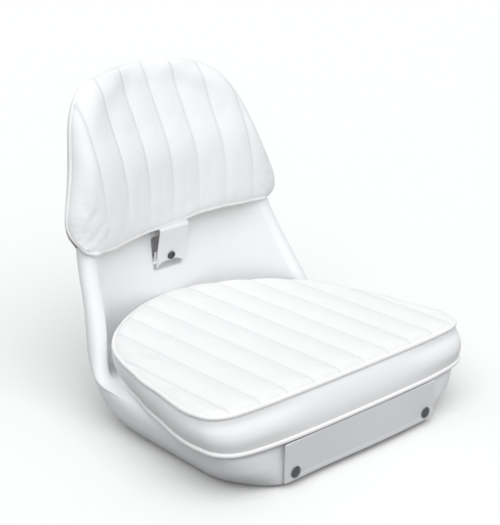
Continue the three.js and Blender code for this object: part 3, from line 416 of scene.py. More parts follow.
bpy.ops.object.mode_set(mode="OBJECT")

slot_width, slot_low, slot_tall, slot_corner, slot_lip = 51, 144, 48, 4, 3
slot_lean, slot_beyond = 0.1, 30


def slot_ring(y, grow):
    """One rounded section of the slot's cutter, leaning as the back does."""
    corner = slot_corner + grow
    half_x = slot_width / 2 + grow - corner
    half_z = slot_tall / 2 + grow - corner
    points = []
    for k in range(32):
        turn = 2 * math.pi * k / 32 + math.pi / 32
        x = corner * math.cos(turn) + math.copysign(half_x, math.cos(turn))
        z = corner * math.sin(turn) + math.copysign(half_z, math.sin(turn))
        points.append((x, y + slot_lean * z, slot_low + slot_tall / 2 + z))
    return points


slot_sizes = back_at(slot_low + slot_tall / 2)
slot_face = float(slot_sizes["front"]) + 0.4
slot_back = slot_face + float(slot_sizes["thickness"])
lip_steps = [slot_lip * step / 6 for step in range(7)]
lip_grow = [slot_lip - math.sqrt(slot_lip ** 2 - (slot_lip - deep) ** 2) for deep in lip_steps]
slot_rings = [slot_ring(slot_face - slot_beyond, slot_lip)]
for deep, grow in zip(lip_steps, lip_grow):
    slot_rings.append(slot_ring(slot_face + deep, grow))
for deep, grow in zip(lip_steps[::-1], lip_grow[::-1]):
    slot_rings.append(slot_ring(slot_back - deep, grow))
slot_rings.append(slot_ring(slot_back + slot_beyond, slot_lip))
slot_cutter = grid_form("slot_cutter", slot_rings)
seal(slot_cutter, fill=True)
cut_away(shell, slot_cutter)


def drill(radius, depth, place, turn=(0, 0, 0)):
    """Cuts one round blind hole into the shell."""
    bpy.ops.object.select_all(action="DESELECT")
    bpy.ops.mesh.primitive_cylinder_add(vertices=40, radius=radius * mm, depth=2 * depth * mm,
                                        location=[v * mm for v in place], rotation=turn)
    cut_away(shell, bpy.context.object)


insert_radius, insert_depth, insert_x, insert_y = 8.3, 14.8, 101.5, 89
drain_radius, drain_depth, drain_x, drain_y = 4, 12, 60, 105
stud_radius, stud_depth, snap_x, stud_y, snap_z = 2.1, 12, 117.5, -174.5, 19
for side in (-1, 1):
    for end in (-1, 1):
        drill(insert_radius, insert_depth, (side * insert_x, end * insert_y, 0))
    drill(drain_radius, drain_depth, (side * drain_x, drain_y, 0))
    drill(stud_radius, stud_depth, (side * snap_x, stud_y, snap_z), (math.pi / 2, 0, 0))

skin_group, spot, size = new_group("moulded_skin", "Peel Size", "Height", "Mottle")
peel = noise(skin_group, spot, size, 3.0, 0.55)
height = arithmetic(skin_group, "MULTIPLY_ADD", noise(skin_group, spot, 14.0), 3.0, peel)
add_node(skin_group, "NodeGroupOutput", None, Height=height,
         Mottle=noise(skin_group, spot, 35.0, 6.0, 0.65))

shell_plastic, tree, shader, place = new_material("moulded_polyethylene")
skin = add_node(tree, "ShaderNodeGroup", {"node_tree": skin_group},
                Position=place, Peel_Size=420.0).outputs
dress(tree, shader, mixed(tree, skin["Mottle"], (0.91, 0.918, 0.93), (0.94, 0.943, 0.95)),
      mapped(tree, skin["Mottle"], 0.34, 0.46), skin["Height"], strength=0.12, distance=0.0006)
finish_piece(shell, shell_plastic, "seat_shell", "shell_plastic", "shell", crease=42)

# Threaded inserts. Four turned brass bushes sit in the shell's underside, where
# the pedestal's bolts go. They stay as built and get a worn turned brass.


def keep_as_built(material, *nodes):
    """Gives CAD nodes whose shape stays as built their material."""
    for name in nodes:
        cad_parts[name].data.materials.clear()
        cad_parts[name].data.materials.append(material)


insert_brass, tree, shader, place = new_material("turned_brass")
tarnish, marks = noise(tree, place, 120.0, 4.0), noise(tree, place, 900.0, 3.0)
dress(tree, shader, mixed(tree, tarnish, (0.62, 0.45, 0.2), (0.8, 0.63, 0.33)),
      mapped(tree, tarnish, 0.25, 0.5), marks, strength=0.15, distance=0.0003, Metallic=1.0)
keep_as_built(insert_brass, "insert_front_left", "insert_rear_left",
              "insert_front_right", "insert_rear_right")

# Foam blocks. Cut blocks of open-celled foam fill the cushion and the hood's pad,
# shut in by the vinyl. They stay as built.
foam_cells, tree, shader, place = new_material("open_cell_foam")
foam = add_node(tree, "ShaderNodeTexVoronoi", None, Vector=place, Scale=700.0)
cells = foam.outputs["Distance"]
dress(tree, shader, mixed(tree, cells, (0.72, 0.65, 0.45), (0.86, 0.8, 0.62)), 0.95, cells,
      strength=0.6, distance=0.0008)
keep_as_built(foam_cells, "seat_foam", "back_foam")

# Seat top. White marine vinyl over foam, sewn down in straight channels. It is
# set out from the cushion's outline, and then settles as cloth between its seams.


def smooth_path(points, count, closed=False):
    """Evenly spaced points along a smooth curve through the given ones."""
    points = np.array(points, float)
    if closed:
        points = np.concatenate([points[-2:], points, points[:3]])
    else:
        before, after = 2 * points[0] - points[1], 2 * points[-1] - points[-2]
        points = np.concatenate([[before], points, [after]])
    runs = []
    for a, b, c, d in zip(points[:-3], points[1:-2], points[2:-1], points[3:]):
        t = np.linspace(0, 1, 24, endpoint=False)[:, None]
        runs.append(0.5 * (2 * b + (c - a) * t + (2 * a - 5 * b + 4 * c - d) * t ** 2
                           + (3 * b - a - 3 * c + d) * t ** 3))
    line = np.concatenate(runs + [points[-2:-1]])
    if closed:
        line = line[24:-24]
    steps = np.concatenate([[0], np.cumsum(np.linalg.norm(np.diff(line, axis=0), axis=1))])
    at = np.linspace(0, steps[-1], count, endpoint=not closed)
    return np.column_stack([np.interp(at, steps, line[:, k]) for k in range(line.shape[1])])


def moved_in(ring, distance):
    """A closed anticlockwise outline moved inwards."""
    run = np.roll(ring, -1, axis=0) - np.roll(ring, 1, axis=0)
    run /= np.linalg.norm(run, axis=1)[:, None] + 1e-9
    return ring + np.column_stack([-run[:, 1], run[:, 0]]) * np.reshape(distance, (-1, 1))


def distance_to(line, x, y):
    """Distance from places to a line of points, and the nearest point's number."""
    best = np.full(np.shape(x), 1e9)
    nearest = np.zeros(np.shape(x))
    for k in range(len(line) - 1):
        a, run = line[k], line[k + 1] - line[k]
        part = np.clip(((x - a[0]) * run[0] + (y - a[1]) * run[1]) / (run @ run + 1e-9), 0, 1)
        gap = np.hypot(x - a[0] - part * run[0], y - a[1] - part * run[1])
        closer = gap < best
        best = np.where(closer, gap, best)
        nearest = np.where(closer, k + part, nearest)
    return best, nearest


def smooth_step(value, low, high):
    """A smooth rise from nought at the low value to one at the high one."""
    part = np.clip((value - low) / (high - low), 0, 1)
    return part * part * (3 - 2 * part)


seat_half_width, seat_front, seat_rear = 226, 160, 203
seam_height, seam_fall, piping_radius, seat_pitch = 109, 4.5, 3, 43.7
seat_half = [
    (0, -1), (0.36, -0.997), (0.68, -0.985), (0.87, -0.955), (0.962, -0.875), (0.993, -0.76),
    (1, -0.64), (0.983, -0.46), (0.96, -0.27), (0.942, -0.06), (0.912, 0.09), (0.874, 0.26),
    (0.812, 0.44), (0.72, 0.588), (0.6, 0.72), (0.41, 0.867), (0.2, 0.966), (0, 1),
]
seat_shares = seat_half + [(-x, y) for x, y in seat_half[-2:0:-1]]
seat_points = [(x * seat_half_width, y * (seat_front if y < 0 else seat_rear))
               for x, y in seat_shares]
seat_line = smooth_path(seat_points, 480, closed=True)


def seam_level(y):
    """Height of the cushion's upper seam, which falls towards the rear."""
    return seam_height - seam_fall * (y + seat_front) / (seat_front + seat_rear)


cloth_frames, cloth_bending, cloth_shrink = 20, 4, -0.002


def cloth_moves(draft, sewn, pressure, most):
    """How far, in mm, each point of a sewn draft panel moves as cloth under its filling."""
    rows, columns = draft.shape[:2]
    panel = grid_form("cloth_draft", draft, closed=False)
    held = panel.vertex_groups.new(name="sewn")
    for number in np.flatnonzero(sewn.ravel()):
        held.add([int(number)], 1.0, "REPLACE")
    cloth = panel.modifiers.new("cloth", "CLOTH")
    set_all(cloth.settings, {
        "vertex_group_mass": "sewn", "quality": 5, "use_pressure": True,
        "uniform_pressure_force": pressure, "bending_stiffness": cloth_bending,
        "shrink_min": cloth_shrink})
    cloth.settings.effector_weights.gravity = 0
    cloth.collision_settings.use_collision = False
    for number in range(1, cloth_frames + 1):
        bpy.context.scene.frame_set(number)
    settled = panel.evaluated_get(bpy.context.evaluated_depsgraph_get()).data
    after = np.empty(3 * rows * columns)
    settled.vertices.foreach_get("co", after)
    moves = after.reshape(rows, columns, 3) / mm - draft
    bpy.context.scene.frame_set(1)
    bpy.data.objects.remove(panel)
    length = np.linalg.norm(moves, axis=-1, keepdims=True)
    moves = moves * np.minimum(1, most / np.maximum(length, 1e-6))
    for _ in range(3):
        moves[1:-1] = (moves[:-2] + 2 * moves[1:-1] + moves[2:]) / 4
    return moves


def table_at(table, j, i):
    """Values of a table at places between its rows and columns."""
    a, b = j.astype(int), i.astype(int)
    u, v = j - a, i - b
    if table.ndim > 2:
        u, v = u[..., None], v[..., None]
    low = table[a, b] * (1 - v) + table[a, b + 1] * v
    high = table[a + 1, b] * (1 - v) + table[a + 1, b + 1] * v
    return low * (1 - u) + high * u


def spread_moves(moves, rows, columns):
    """The moves of a draft panel between its points, for a finer panel."""
    down = np.linspace(0, moves.shape[0] - 1.001, rows)
    along = np.linspace(0, moves.shape[1] - 1.001, columns)
    return table_at(moves, *np.meshgrid(down, along, indexing="ij"))


def column_places(low_line, high_line, columns, rows):
    """Places between two edge lines that share their ends, in columns from the lower one."""
    reach = low_line[:, 0].max()
    x = reach * np.sin(np.linspace(-1.55, 1.55, columns))
    share = np.linspace(0, 1, rows)
    share = 0.6 * share + 0.4 * (1 - np.cos(math.pi * share)) / 2
    low = np.interp(x, low_line[:, 0], low_line[:, 1])
    high = np.interp(x, high_line[:, 0], high_line[:, 1])
    return np.repeat(x[None, :], rows, axis=0), low + (high - low) * share[:, None]


def column_form(name, low_line, high_line, columns, rows, height, moves=None):
    """A panel between two edge lines, set out by its height and any draft's moves."""
    places = height(*column_places(low_line, high_line, columns, rows))
    if moves is not None:
        places = places + spread_moves(moves, rows, columns)
    return grid_form(name, places, closed=False)


def side_lines(ring):
    """The lower and upper side of a closed outline, both from -X to +X."""
    left, right = ring[:, 0].argmin(), ring[:, 0].argmax()
    ring = np.roll(ring, -left, axis=0)
    turn = (right - left) % len(ring)
    first = ring[:turn + 1]
    second = np.concatenate([ring[turn:], ring[:1]])[::-1]
    lower_first = first[:, 1].mean() < second[:, 1].mean()
    return (first, second) if lower_first else (second, first)


def thicken(piece, thickness, offset):
    """Seals a sheet and gives it its thickness."""
    seal(piece)
    apply_modifier(piece, "SOLIDIFY", thickness=thickness, offset=offset)


def seam_puff(x, pitch, offset, depth):
    """Fall of a sewn channel towards its seams."""
    across = np.abs(np.sin(math.pi * (x - offset) / pitch))
    return -depth * (1 - across ** 0.8)


top_roll, top_dome, top_puff = 26, 8.6, 4.8
filling_pressure, seat_draft, draft_rows, sheet_thickness = 4, 131, 61, 0.0018
top_line = moved_in(seat_line, piping_radius - 0.8)
top_loop = np.concatenate([top_line, top_line[:1]])


def seat_top_face(x, y):
    """The seat's top: a dome that rolls over at its edge, sewn down in channels."""
    edge, _ = distance_to(top_loop[::2], x, y)
    dome = np.sqrt(1 - (1 - np.clip(edge / top_roll, 0, 1)) ** 2)
    middle = 1 - 0.3 * np.abs(x / seat_half_width) ** 3
    held = 0.35 + 0.65 * smooth_step(edge, 2, 20)
    puff = held * seam_puff(x, seat_pitch, seat_pitch / 2, top_puff)
    ripple = 0.35 * np.sin(x / 5.2 + 2 * np.sin(x / 31)) * np.exp(-edge / 7)
    z = seam_level(y) + 0.6 + top_dome * dome * middle + puff
    return np.stack([x, y, z + ripple], axis=-1)


front_line, rear_line = side_lines(top_line)
seat_moves = None
draft_x, draft_y = column_places(front_line, rear_line, seat_draft, draft_rows)
off_seam = np.abs((draft_x + seat_pitch) % seat_pitch - seat_pitch / 2)
sewn = (distance_to(top_loop[::2], draft_x, draft_y)[0] < 5) | (off_seam < 2.8)
seat_moves = cloth_moves(seat_top_face(draft_x, draft_y), sewn, filling_pressure, 4)
seat_top = column_form("seat_channelled_top", front_line, rear_line, 320, 110,
                       seat_top_face, seat_moves)
thicken(seat_top, sheet_thickness, -1)

grain_group, spot, size = new_group("vinyl_grain", "Pebble Size", "Height", "Wear")
warp = add_node(grain_group, "ShaderNodeTexNoise", None, Vector=spot, Scale=240.0)
pushed = add_node(grain_group, "ShaderNodeVectorMath", {"operation": "MULTIPLY_ADD"},
                  _0=warp.outputs["Color"], _1=(0.0006, 0.0006, 0.0006), _2=spot)
pebble = add_node(grain_group, "ShaderNodeTexVoronoi", {"feature": "SMOOTH_F1"},
                  Vector=pushed.outputs[0], Scale=size)
slack = noise(grain_group, spot, 22.0, 3.0)
height = arithmetic(grain_group, "MULTIPLY_ADD", slack, 2.2, pebble.outputs["Distance"])
add_node(grain_group, "NodeGroupOutput", None, Height=height,
         Wear=noise(grain_group, spot, 9.0, 5.0, 0.6))

# Seams: how faintly they show low down, then the painted shade along each seam's groove, which
# gives its strongest share, its reach to each side and its colour; then the thread.
seam_faint, seam_shade, seam_reach, seam_painted_shade_colour = 0.15, 0.7, 0.0034, (0.76, 0.77, 0.79)
thread_edge, thread_core, stitch_length = 0.00075, 0.0003, 0.0042
thread_colour = (0.84, 0.84, 0.84)


def vinyl(name, dark, light, stitch=None):
    """White vinyl with a fine pebble grain. A stitch gives the axis that its seams run
    along, their pitch and offset across, the heights from which they show faintly and
    fully, and how far to the sides they go, in metres."""
    material, tree, shader, place = new_material(name)
    grain = add_node(tree, "ShaderNodeGroup", {"node_tree": grain_group},
                     Position=place, Pebble_Size=1100.0).outputs
    colour, height = mixed(tree, grain["Wear"], dark, light), grain["Height"]
    if stitch:
        run, pitch, offset, faint, full, last = stitch
        parts = add_node(tree, "ShaderNodeSeparateXYZ", None, Vector=place).outputs
        shifted = arithmetic(tree, "SUBTRACT", parts["X"], offset)
        aside = arithmetic(tree, "PINGPONG", shifted, pitch / 2)
        level = mapped(tree, parts["Z"], seam_faint, 1.0, faint, full, "SMOOTHSTEP")
        within = arithmetic(tree, "LESS_THAN", arithmetic(tree, "ABSOLUTE", parts["X"]), last)
        shown = arithmetic(tree, "MULTIPLY", level, within)
        # Painted shade: the colour darkens in a soft band along each seam line, where the groove
        # lies in shade.
        painted_seam_shade = mapped(tree, aside, seam_shade, 0.0, 0.0, seam_reach, "SMOOTHSTEP")
        painted_seam_shade = arithmetic(tree, "MULTIPLY", painted_seam_shade, shown)
        colour = mixed(tree, painted_seam_shade, colour, seam_painted_shade_colour)
        strand = mapped(tree, aside, 0.0, 1.0, thread_edge, thread_core, "SMOOTHSTEP")
        wave = arithmetic(tree, "MULTIPLY", parts[run], 2 * math.pi / stitch_length)
        loop = mapped(tree, arithmetic(tree, "SINE", wave), 0.0, 1.0, -0.75, -0.2, "SMOOTHSTEP")
        thread = arithmetic(tree, "MULTIPLY", arithmetic(tree, "MULTIPLY", strand, loop), shown)
        colour = mixed(tree, thread, colour, thread_colour)
        height = arithmetic(tree, "MULTIPLY_ADD", thread, 1.6, height)
    dress(tree, shader, colour, mapped(tree, grain["Wear"], 0.5, 0.62), height,
          strength=0.22, distance=0.0004, Specular_IOR_Level=0.4)
    return material


seat_stitch = ("Y", seat_pitch * mm, seat_pitch / 2 * mm, -1, 0, 0.22)
seat_vinyl = vinyl("seat_vinyl", (0.9, 0.9, 0.9), (0.94, 0.94, 0.935), seat_stitch)
finish_piece(seat_top, seat_vinyl, "seat_cushion", "vinyl", "seat_top_panel")

# Seat side band. One plain strip of the vinyl runs round the cushion between its
# two seams, bulging with the foam and puckered where it is sewn.
band_rows, band_swell, band_puckers = 34, 5.2, 190
hem_height, hem_drop, hem_flare, hem_tuck, rear_tuck = 66.4, 3.5, 18, 10, 18


def hem_level(y):
    """Height of the cushion's lower seam, which dips at the front."""
    return hem_height - hem_drop * smooth_step(-y / (seat_front + hem_flare), 0.55, 1)


across = seat_line[:, 0] / seat_half_width
to_front = smooth_step(-seat_line[:, 1] / seat_front, 0.55, 1)
to_rear = smooth_step(seat_line[:, 1] / seat_rear, 0.55, 1)
tuck = hem_tuck * (0.15 + 0.85 * smooth_step(seat_line[:, 1], -90, 50))
seat_hem = np.column_stack([
    seat_line[:, 0] - across * (tuck + rear_tuck / 2 * to_rear),
    seat_line[:, 1] - hem_flare * to_front * (1 - across ** 4 / 2) - rear_tuck * to_rear,
])
plain_vinyl = vinyl("plain_vinyl", (0.89, 0.893, 0.9), (0.93, 0.93, 0.93))
band_rings = []
for share in np.linspace(0, 1, band_rows):
    outline = seat_hem + (seat_line - seat_hem) * share
    swell = band_swell * (4 * share * (1 - share)) ** 0.85
    turn = np.arctan2(outline[:, 1] + 20, outline[:, 0])
    corner = np.exp(-((turn + 2.42) / 0.24) ** 2) + np.exp(-((turn + 0.72) / 0.24) ** 2)
    bulge = 2.2 * np.exp(-((share - 0.42) / 0.26) ** 2) - 2.6 * np.exp(-((share - 0.8) / 0.13) ** 2)
    round_it = np.arange(len(outline)) * 2 * math.pi / 480
    pucker = 0.28 * np.sin(round_it * band_puckers + 3 * share)
    swell = swell + corner * bulge + pucker * (np.exp(-share * 14) + np.exp(-(1 - share) * 14))
    outline = moved_in(outline, 0.4 - swell)
    top = seam_level(seat_line[:, 1]) - piping_radius * 0.6
    low = hem_level(seat_hem[:, 1]) + piping_radius * 0.6
    band_rings.append(np.column_stack([outline, low + (top - low) * share]))
seat_band = grid_form("seat_side_band", band_rings)
thicken(seat_band, sheet_thickness, -1)
finish_piece(seat_band, plain_vinyl, "seat_cushion", "vinyl", "seat_boxing")

# Seat base sheet. A thinner sheet of the vinyl closes the cushion's underside,
# cut to the lower seam's outline and pulled flat.
base_level, base_margin, thin_sheet = hem_height - piping_radius + 1.5, 0.4, 0.0014
base_front, base_rear = side_lines(moved_in(seat_hem, piping_radius + base_margin))


def base_face(x, y):
    """The cushion's flat underside."""
    return np.stack([x, y, np.full(np.shape(x), base_level)], axis=-1)


seat_base = column_form("seat_base_sheet", base_front, base_rear, 60, 40, base_face)
thicken(seat_base, thin_sheet, 1)
finish_piece(seat_base, plain_vinyl, "seat_cushion", "vinyl", "seat_bottom_panel")

# Piping of the seat cushion. A vinyl strip is folded over a cord and sewn into
# the seams above and below the side band.


def piping(name, points, radius, closed):
    """A round cord through the given points, as a mesh with closed ends."""
    bpy.ops.object.select_all(action="DESELECT")
    bpy.ops.curve.primitive_bezier_curve_add()
    piece = bpy.context.object
    piece.name = name
    curve = piece.data
    curve.splines.clear()
    spline = curve.splines.new("POLY")
    spline.points.add(len(points) - 1)
    spline.points.foreach_set("co", np.column_stack([points * mm, np.ones(len(points))]).ravel())
    spline.use_cyclic_u = closed
    set_all(curve, {"dimensions": "3D", "bevel_depth": radius * mm, "bevel_resolution": 4,
                    "use_fill_caps": True})
    bpy.ops.object.convert(target="MESH")
    piece = bpy.context.object
    seal(piece, fill=not closed)
    return piece


piping_vinyl = vinyl("piping_vinyl", (0.93, 0.93, 0.93), (0.96, 0.96, 0.96))
for seam, line, level in (("upper", seat_line, seam_level), ("lower", seat_hem, hem_level)):
    points = np.column_stack([line, level(line[:, 1])])
    cord = piping(f"seat_{seam}_piping", points, piping_radius, True)
    finish_piece(cord, piping_vinyl, "seat_cushion", "piping", f"seat_{seam}_welt")

# Hood front. The back cover is a hood of the same vinyl, and its front is a
# channelled pad, drawn from the pad's and the shell's surfaces and rolled to a seam.
hood_top, hood_hem, hood_half_width, hood_pitch = 431, 207.5, 180, 43.5
hood_rise = hood_top - hood_hem
edge_half = [
    (0.955, 0.07), (0.99, 0.118), (1, 0.18), (0.984, 0.255), (0.947, 0.34), (0.881, 0.495),
    (0.828, 0.655), (0.783, 0.763), (0.7, 0.866), (0.578, 0.938), (0.445, 0.97), (0.28, 0.991),
    (0, 1),
]
edge_points = [(x * hood_half_width, hood_hem + z * hood_rise) for x, z in edge_half]
edge_points += [(-x, z) for x, z in edge_points[-2::-1]]
hem_lift, hem_rows = 20, np.array([
    (-1, 0.5), (-0.955, 0.4), (-0.89, 0.25), (-0.83, 0.14), (-0.72, 0), (-0.6, -0.11),
    (-0.48, -0.03), (-0.36, 0.1), (-0.24, 0.16), (-0.12, 0.22), (0, 0.3), (0.12, 0.43),
    (0.24, 0.6), (0.36, 0.72), (0.48, 0.79), (0.6, 0.82), (0.72, 0.86), (0.83, 0.89), (1, 0.88),
])
hem_curve = smooth_path(hem_rows, 200)


def hood_hem_level(x):
    """Height of the hood's front hem, which sags on the left."""
    return hood_hem + hem_lift * np.interp(x / hood_half_width, hem_curve[:, 0], hem_curve[:, 1])


hem_end, seam_forward = 167.5, 4.5
slack_corner = [(-hem_end, hood_hem_level(-hem_end) + 2.6), (-161, hood_hem_level(-161) + 0.6)]
edge_line = smooth_path(edge_points + slack_corner, 340)
hem_x = np.linspace(-156, 163, 150)
hem_line = np.column_stack([hem_x, hood_hem_level(hem_x)])
edge_seam = np.array([float(wall_middle(back_at(min(z, shell_top)), x)) - seam_forward
                      for x, z in edge_line])
smoothing = np.hanning(41) / np.hanning(41).sum()
edge_seam = np.convolve(np.pad(edge_seam, 20, mode="edge"), smoothing, mode="valid")
pad_line = smooth_path([
    (0, 0.09), (0.05, 0.04), (0.13, 0), (0.23, 0), (0.34, 0.022), (0.456, 0.075), (0.53, 0.14),
    (0.605, 0.25), (0.69, 0.36), (0.778, 0.485), (0.86, 0.61), (0.94, 0.73), (1, 0.82)], 200)


def shell_face(x, z, side, grow):
    """Depth of the shell's back grown by a distance and carried on past its lip: the
    front face where side is -1, the rear face where it is 1."""
    sizes = back_at(np.minimum(z, shell_top))
    radius = sizes["thickness"] / 2 + grow
    over = np.abs(x) - sizes["reach"]
    slope = wall_slope(sizes, sizes["reach"])
    turn = radius * -slope / np.hypot(1, slope)
    lip = wall_middle(sizes, sizes["reach"])
    wall = wall_middle(sizes, x) + side * radius * np.hypot(1, wall_slope(sizes, x))
    if side > 0:
        return np.where(over > 0, lip + radius * np.hypot(1, slope) + over * slope, wall)
    rounded = lip - np.sqrt(np.maximum(0, radius ** 2 - np.minimum(over, 0) ** 2))
    return np.where(over >= -turn, rounded + 0.6 * np.maximum(0, over), wall)


cord_clearance = 4.2
slack_depth = float(shell_face(-158, hood_hem_level(-158), -1, cord_clearance))
to_slack = smooth_step(np.arange(len(edge_seam)), len(edge_seam) - 24, len(edge_seam) - 1)
front_seam = edge_seam * (1 - to_slack) + slack_depth * to_slack

hood_folds = [
    (-146, 240, 42, 30, 5, 1.3), (-158, 254, 62, 26, 5, 1.3), (-134, 228, 25, 26, 5, 1.0),
    (-124, 238, 78, 34, 6, 1.0), (-160, 280, 80, 26, 5, 1.0), (152, 236, 138, 22, 4.5, 1.6),
    (160, 250, 112, 20, 4.5, 1.3), (-96, 240, 84, 46, 7, 1.1), (56, 244, 96, 46, 8, 1.1),
    (104, 242, 100, 40, 7, 1.1), (-66, 262, 86, 52, 7, 1.5), (-22, 258, 90, 56, 7, 1.5),
    (20, 262, 92, 52, 7, 1.4), (64, 270, 94, 46, 7, 1.3), (112, 270, 98, 44, 6, 1.2),
]
pad_front, pad_lean, pad_wrap, pad_blend, front_clearance, cover_step = 190, 92, 18, 7, 6, 4
last_seam, hood_puff, hood_roll, hood_draft, hood_thickness = 152, 4, 24, 121, 0.003


def creases(x, y, folds):
    """Soft creases, each with a middle, a heading, a length, a width and a depth."""
    total = np.zeros(np.shape(x))
    for at_x, at_y, heading, length, width, depth in folds:
        heading = math.radians(heading)
        along = (x - at_x) * math.cos(heading) + (y - at_y) * math.sin(heading)
        aside = -(x - at_x) * math.sin(heading) + (y - at_y) * math.cos(heading)
        aside = aside + 0.12 * along ** 2 / length
        total -= depth * np.exp(-(aside / width) ** 2) * np.exp(-(along / length * 1.6) ** 4)
    return total


def soft_least(a, b, blend):
    """The smaller of two values, rounded where they cross."""
    return -blend * np.logaddexp(-a / blend, -b / blend)


def raw_cover(x, z):
    """Depth of the cover's front before it is drawn smooth, over the pad or the shell."""
    up = (z - hood_hem) / hood_rise
    setback = np.interp(up, pad_line[:, 0], pad_line[:, 1])
    wrap = pad_wrap * np.minimum(1, np.abs(x) / 125) ** 2
    pad = pad_front + pad_lean * setback - wrap
    return soft_least(pad, shell_face(x, z, -1, front_clearance), pad_blend) + 2


cover_x, cover_z = np.arange(-200, 200.1, cover_step), np.arange(184, 452.1, cover_step)


def gathered(table, reach, combine):
    """A table whose values are combined with their neighbours, along both axes in turn."""
    for axis in (0, 1):
        margins = [(reach, reach) if k == axis else (0, 0) for k in (0, 1)]
        padded, size = np.pad(table, margins, mode="edge"), table.shape[axis]
        table = combine([padded.take(range(k, k + size), axis=axis) for k in range(2 * reach + 1)])
    return table


def drawn_smooth(table, reach, outermost):
    """A depth drawn smooth, as a cover lies: the outermost depth nearby, then the mean."""
    table = gathered(table, reach, outermost)
    for _ in range(3):
        table = gathered(table, 2, lambda parts: np.mean(parts, axis=0))

    def depth(x, z):
        i = np.clip((x - cover_x[0]) / cover_step, 0, len(cover_x) - 1.001)
        j = np.clip((z - cover_z[0]) / cover_step, 0, len(cover_z) - 1.001)
        return table_at(table, j, i)

    return depth


cover_grid = np.meshgrid(cover_x, cover_z)
drawn_front = drawn_smooth(raw_cover(*cover_grid), 1, np.minimum.reduce)


def edge_near(x, z):
    """Distance from a place to the hood's edge, and the number of the edge's point there."""
    gap, spot = distance_to(edge_line[::2], x, z)
    return gap, spot * 2


def pad_face(x, z):
    """Depth of the padded front: the drawn cover, puffed, and rolled back to its seam."""
    gap, spot = edge_near(x, z)
    seam = np.interp(spot, np.arange(len(front_seam)), front_seam) - 2.2
    roll = np.sqrt(1 - (1 - np.clip((gap - 2) / hood_roll, 0, 1)) ** 3)
    face = seam + (drawn_front(x, z) - seam) * roll
    held = smooth_step(gap, 1, 34)
    upper = 0.45 + 0.55 * smooth_step(z, 268, 318)
    puff = seam_puff(np.clip(x, -last_seam, last_seam), hood_pitch, 0, hood_puff)
    puff *= upper * (0.35 + 0.65 * held)
    to_hem = z - np.interp(x, hem_line[:, 0], hem_line[:, 1])
    pinch = 4.0 * np.exp(-np.maximum(0, to_hem - 3) / 5)
    flat = np.exp(-(x / 60) ** 4) * smooth_step(-z, -312, -262) * smooth_step(to_hem, 0, 26)
    ripple = 0.3 * np.sin(spot / 320 * 2 * math.pi * 62) * np.exp(-gap / 6)
    return face - puff * (1 - 0.5 * flat) + pinch + 4 * flat - creases(x, z, hood_folds) + ripple


def hood_front_face(x, z):
    """The hood's front as places."""
    return np.stack([x, pad_face(x, z), z], axis=-1)


hood_ring = np.concatenate([hem_line, edge_line])
hood_low, hood_high = side_lines(hood_ring)
front_low = hood_low + [0, 1] * (2.6 * smooth_step(178 - np.abs(hood_low[:, :1]), 0, 12))
hood_moves = None
draft_x, draft_z = column_places(front_low, hood_high, hood_draft, draft_rows)
off_seam = np.abs((draft_x + hood_pitch / 2) % hood_pitch - hood_pitch / 2)
quilted = (off_seam < 2.6) & (draft_z > 262) & (np.abs(draft_x) < last_seam)
at_hem = np.arange(draft_rows)[:, None] < 2
sewn = (edge_near(draft_x, draft_z)[0] < 9) | quilted | at_hem
hood_moves = cloth_moves(hood_front_face(draft_x, draft_z), sewn, filling_pressure, 3)
hood_front = column_form("hood_channelled_front", front_low, hood_high, 320, 130,
                         hood_front_face, hood_moves)
thicken(hood_front, hood_thickness, -1)
hood_stitch = ("Z", hood_pitch * mm, 0.0, 0.24, 0.33, 0.15)
hood_vinyl = vinyl("hood_vinyl", (0.94, 0.947, 0.957), (0.97, 0.974, 0.98), hood_stitch)
finish_piece(hood_front, hood_vinyl, "seat_shell", "vinyl", "back_front_panel")

# Hood rear. A plain sheet of the vinyl is stretched down over the shell's back
# from the edge's seam, with a few soft pulls towards its lower corners.
rear_hem, rear_roll, rear_clearance = 205, 32, 5.5
rear_folds = [(-150, 250, 70, 30, 4, 1.2), (150, 250, 110, 30, 4, 1.2),
              (-60, 230, 88, 30, 6, 0.8), (70, 228, 95, 30, 6, 0.8)]
drawn_rear = drawn_smooth(shell_face(*cover_grid, 1, rear_clearance), 2, np.maximum.reduce)


def hood_rear_face(x, z):
    """The hood's rear: rolled in from its seam, and drawn over the shell further away."""
    gap, spot = edge_near(x, z)
    seam = np.interp(spot, np.arange(len(edge_seam)), edge_seam) + 2.6
    roll = np.sqrt(1 - (1 - np.clip(gap / rear_roll, 0, 1)) ** 2)
    drawn, far = drawn_rear(x, z), smooth_step(gap, 26, 52)
    y = (seam - soft_least(seam - drawn, 0, 2) * roll) * (1 - far) + drawn * far
    return np.stack([x, y + creases(x, z, rear_folds), z], axis=-1)


rear_low = hood_low.copy()
to_corner = smooth_step(np.abs(rear_low[:, 0]), 138, 170)
rear_low[:, 1] = rear_hem + (rear_low[:, 1] - rear_hem) * to_corner
hood_rear = column_form("hood_rear_sheet", rear_low, hood_high, 220, 100, hood_rear_face)
thicken(hood_rear, thin_sheet, 1)
finish_piece(hood_rear, plain_vinyl, "seat_shell", "vinyl", "back_rear_panel")

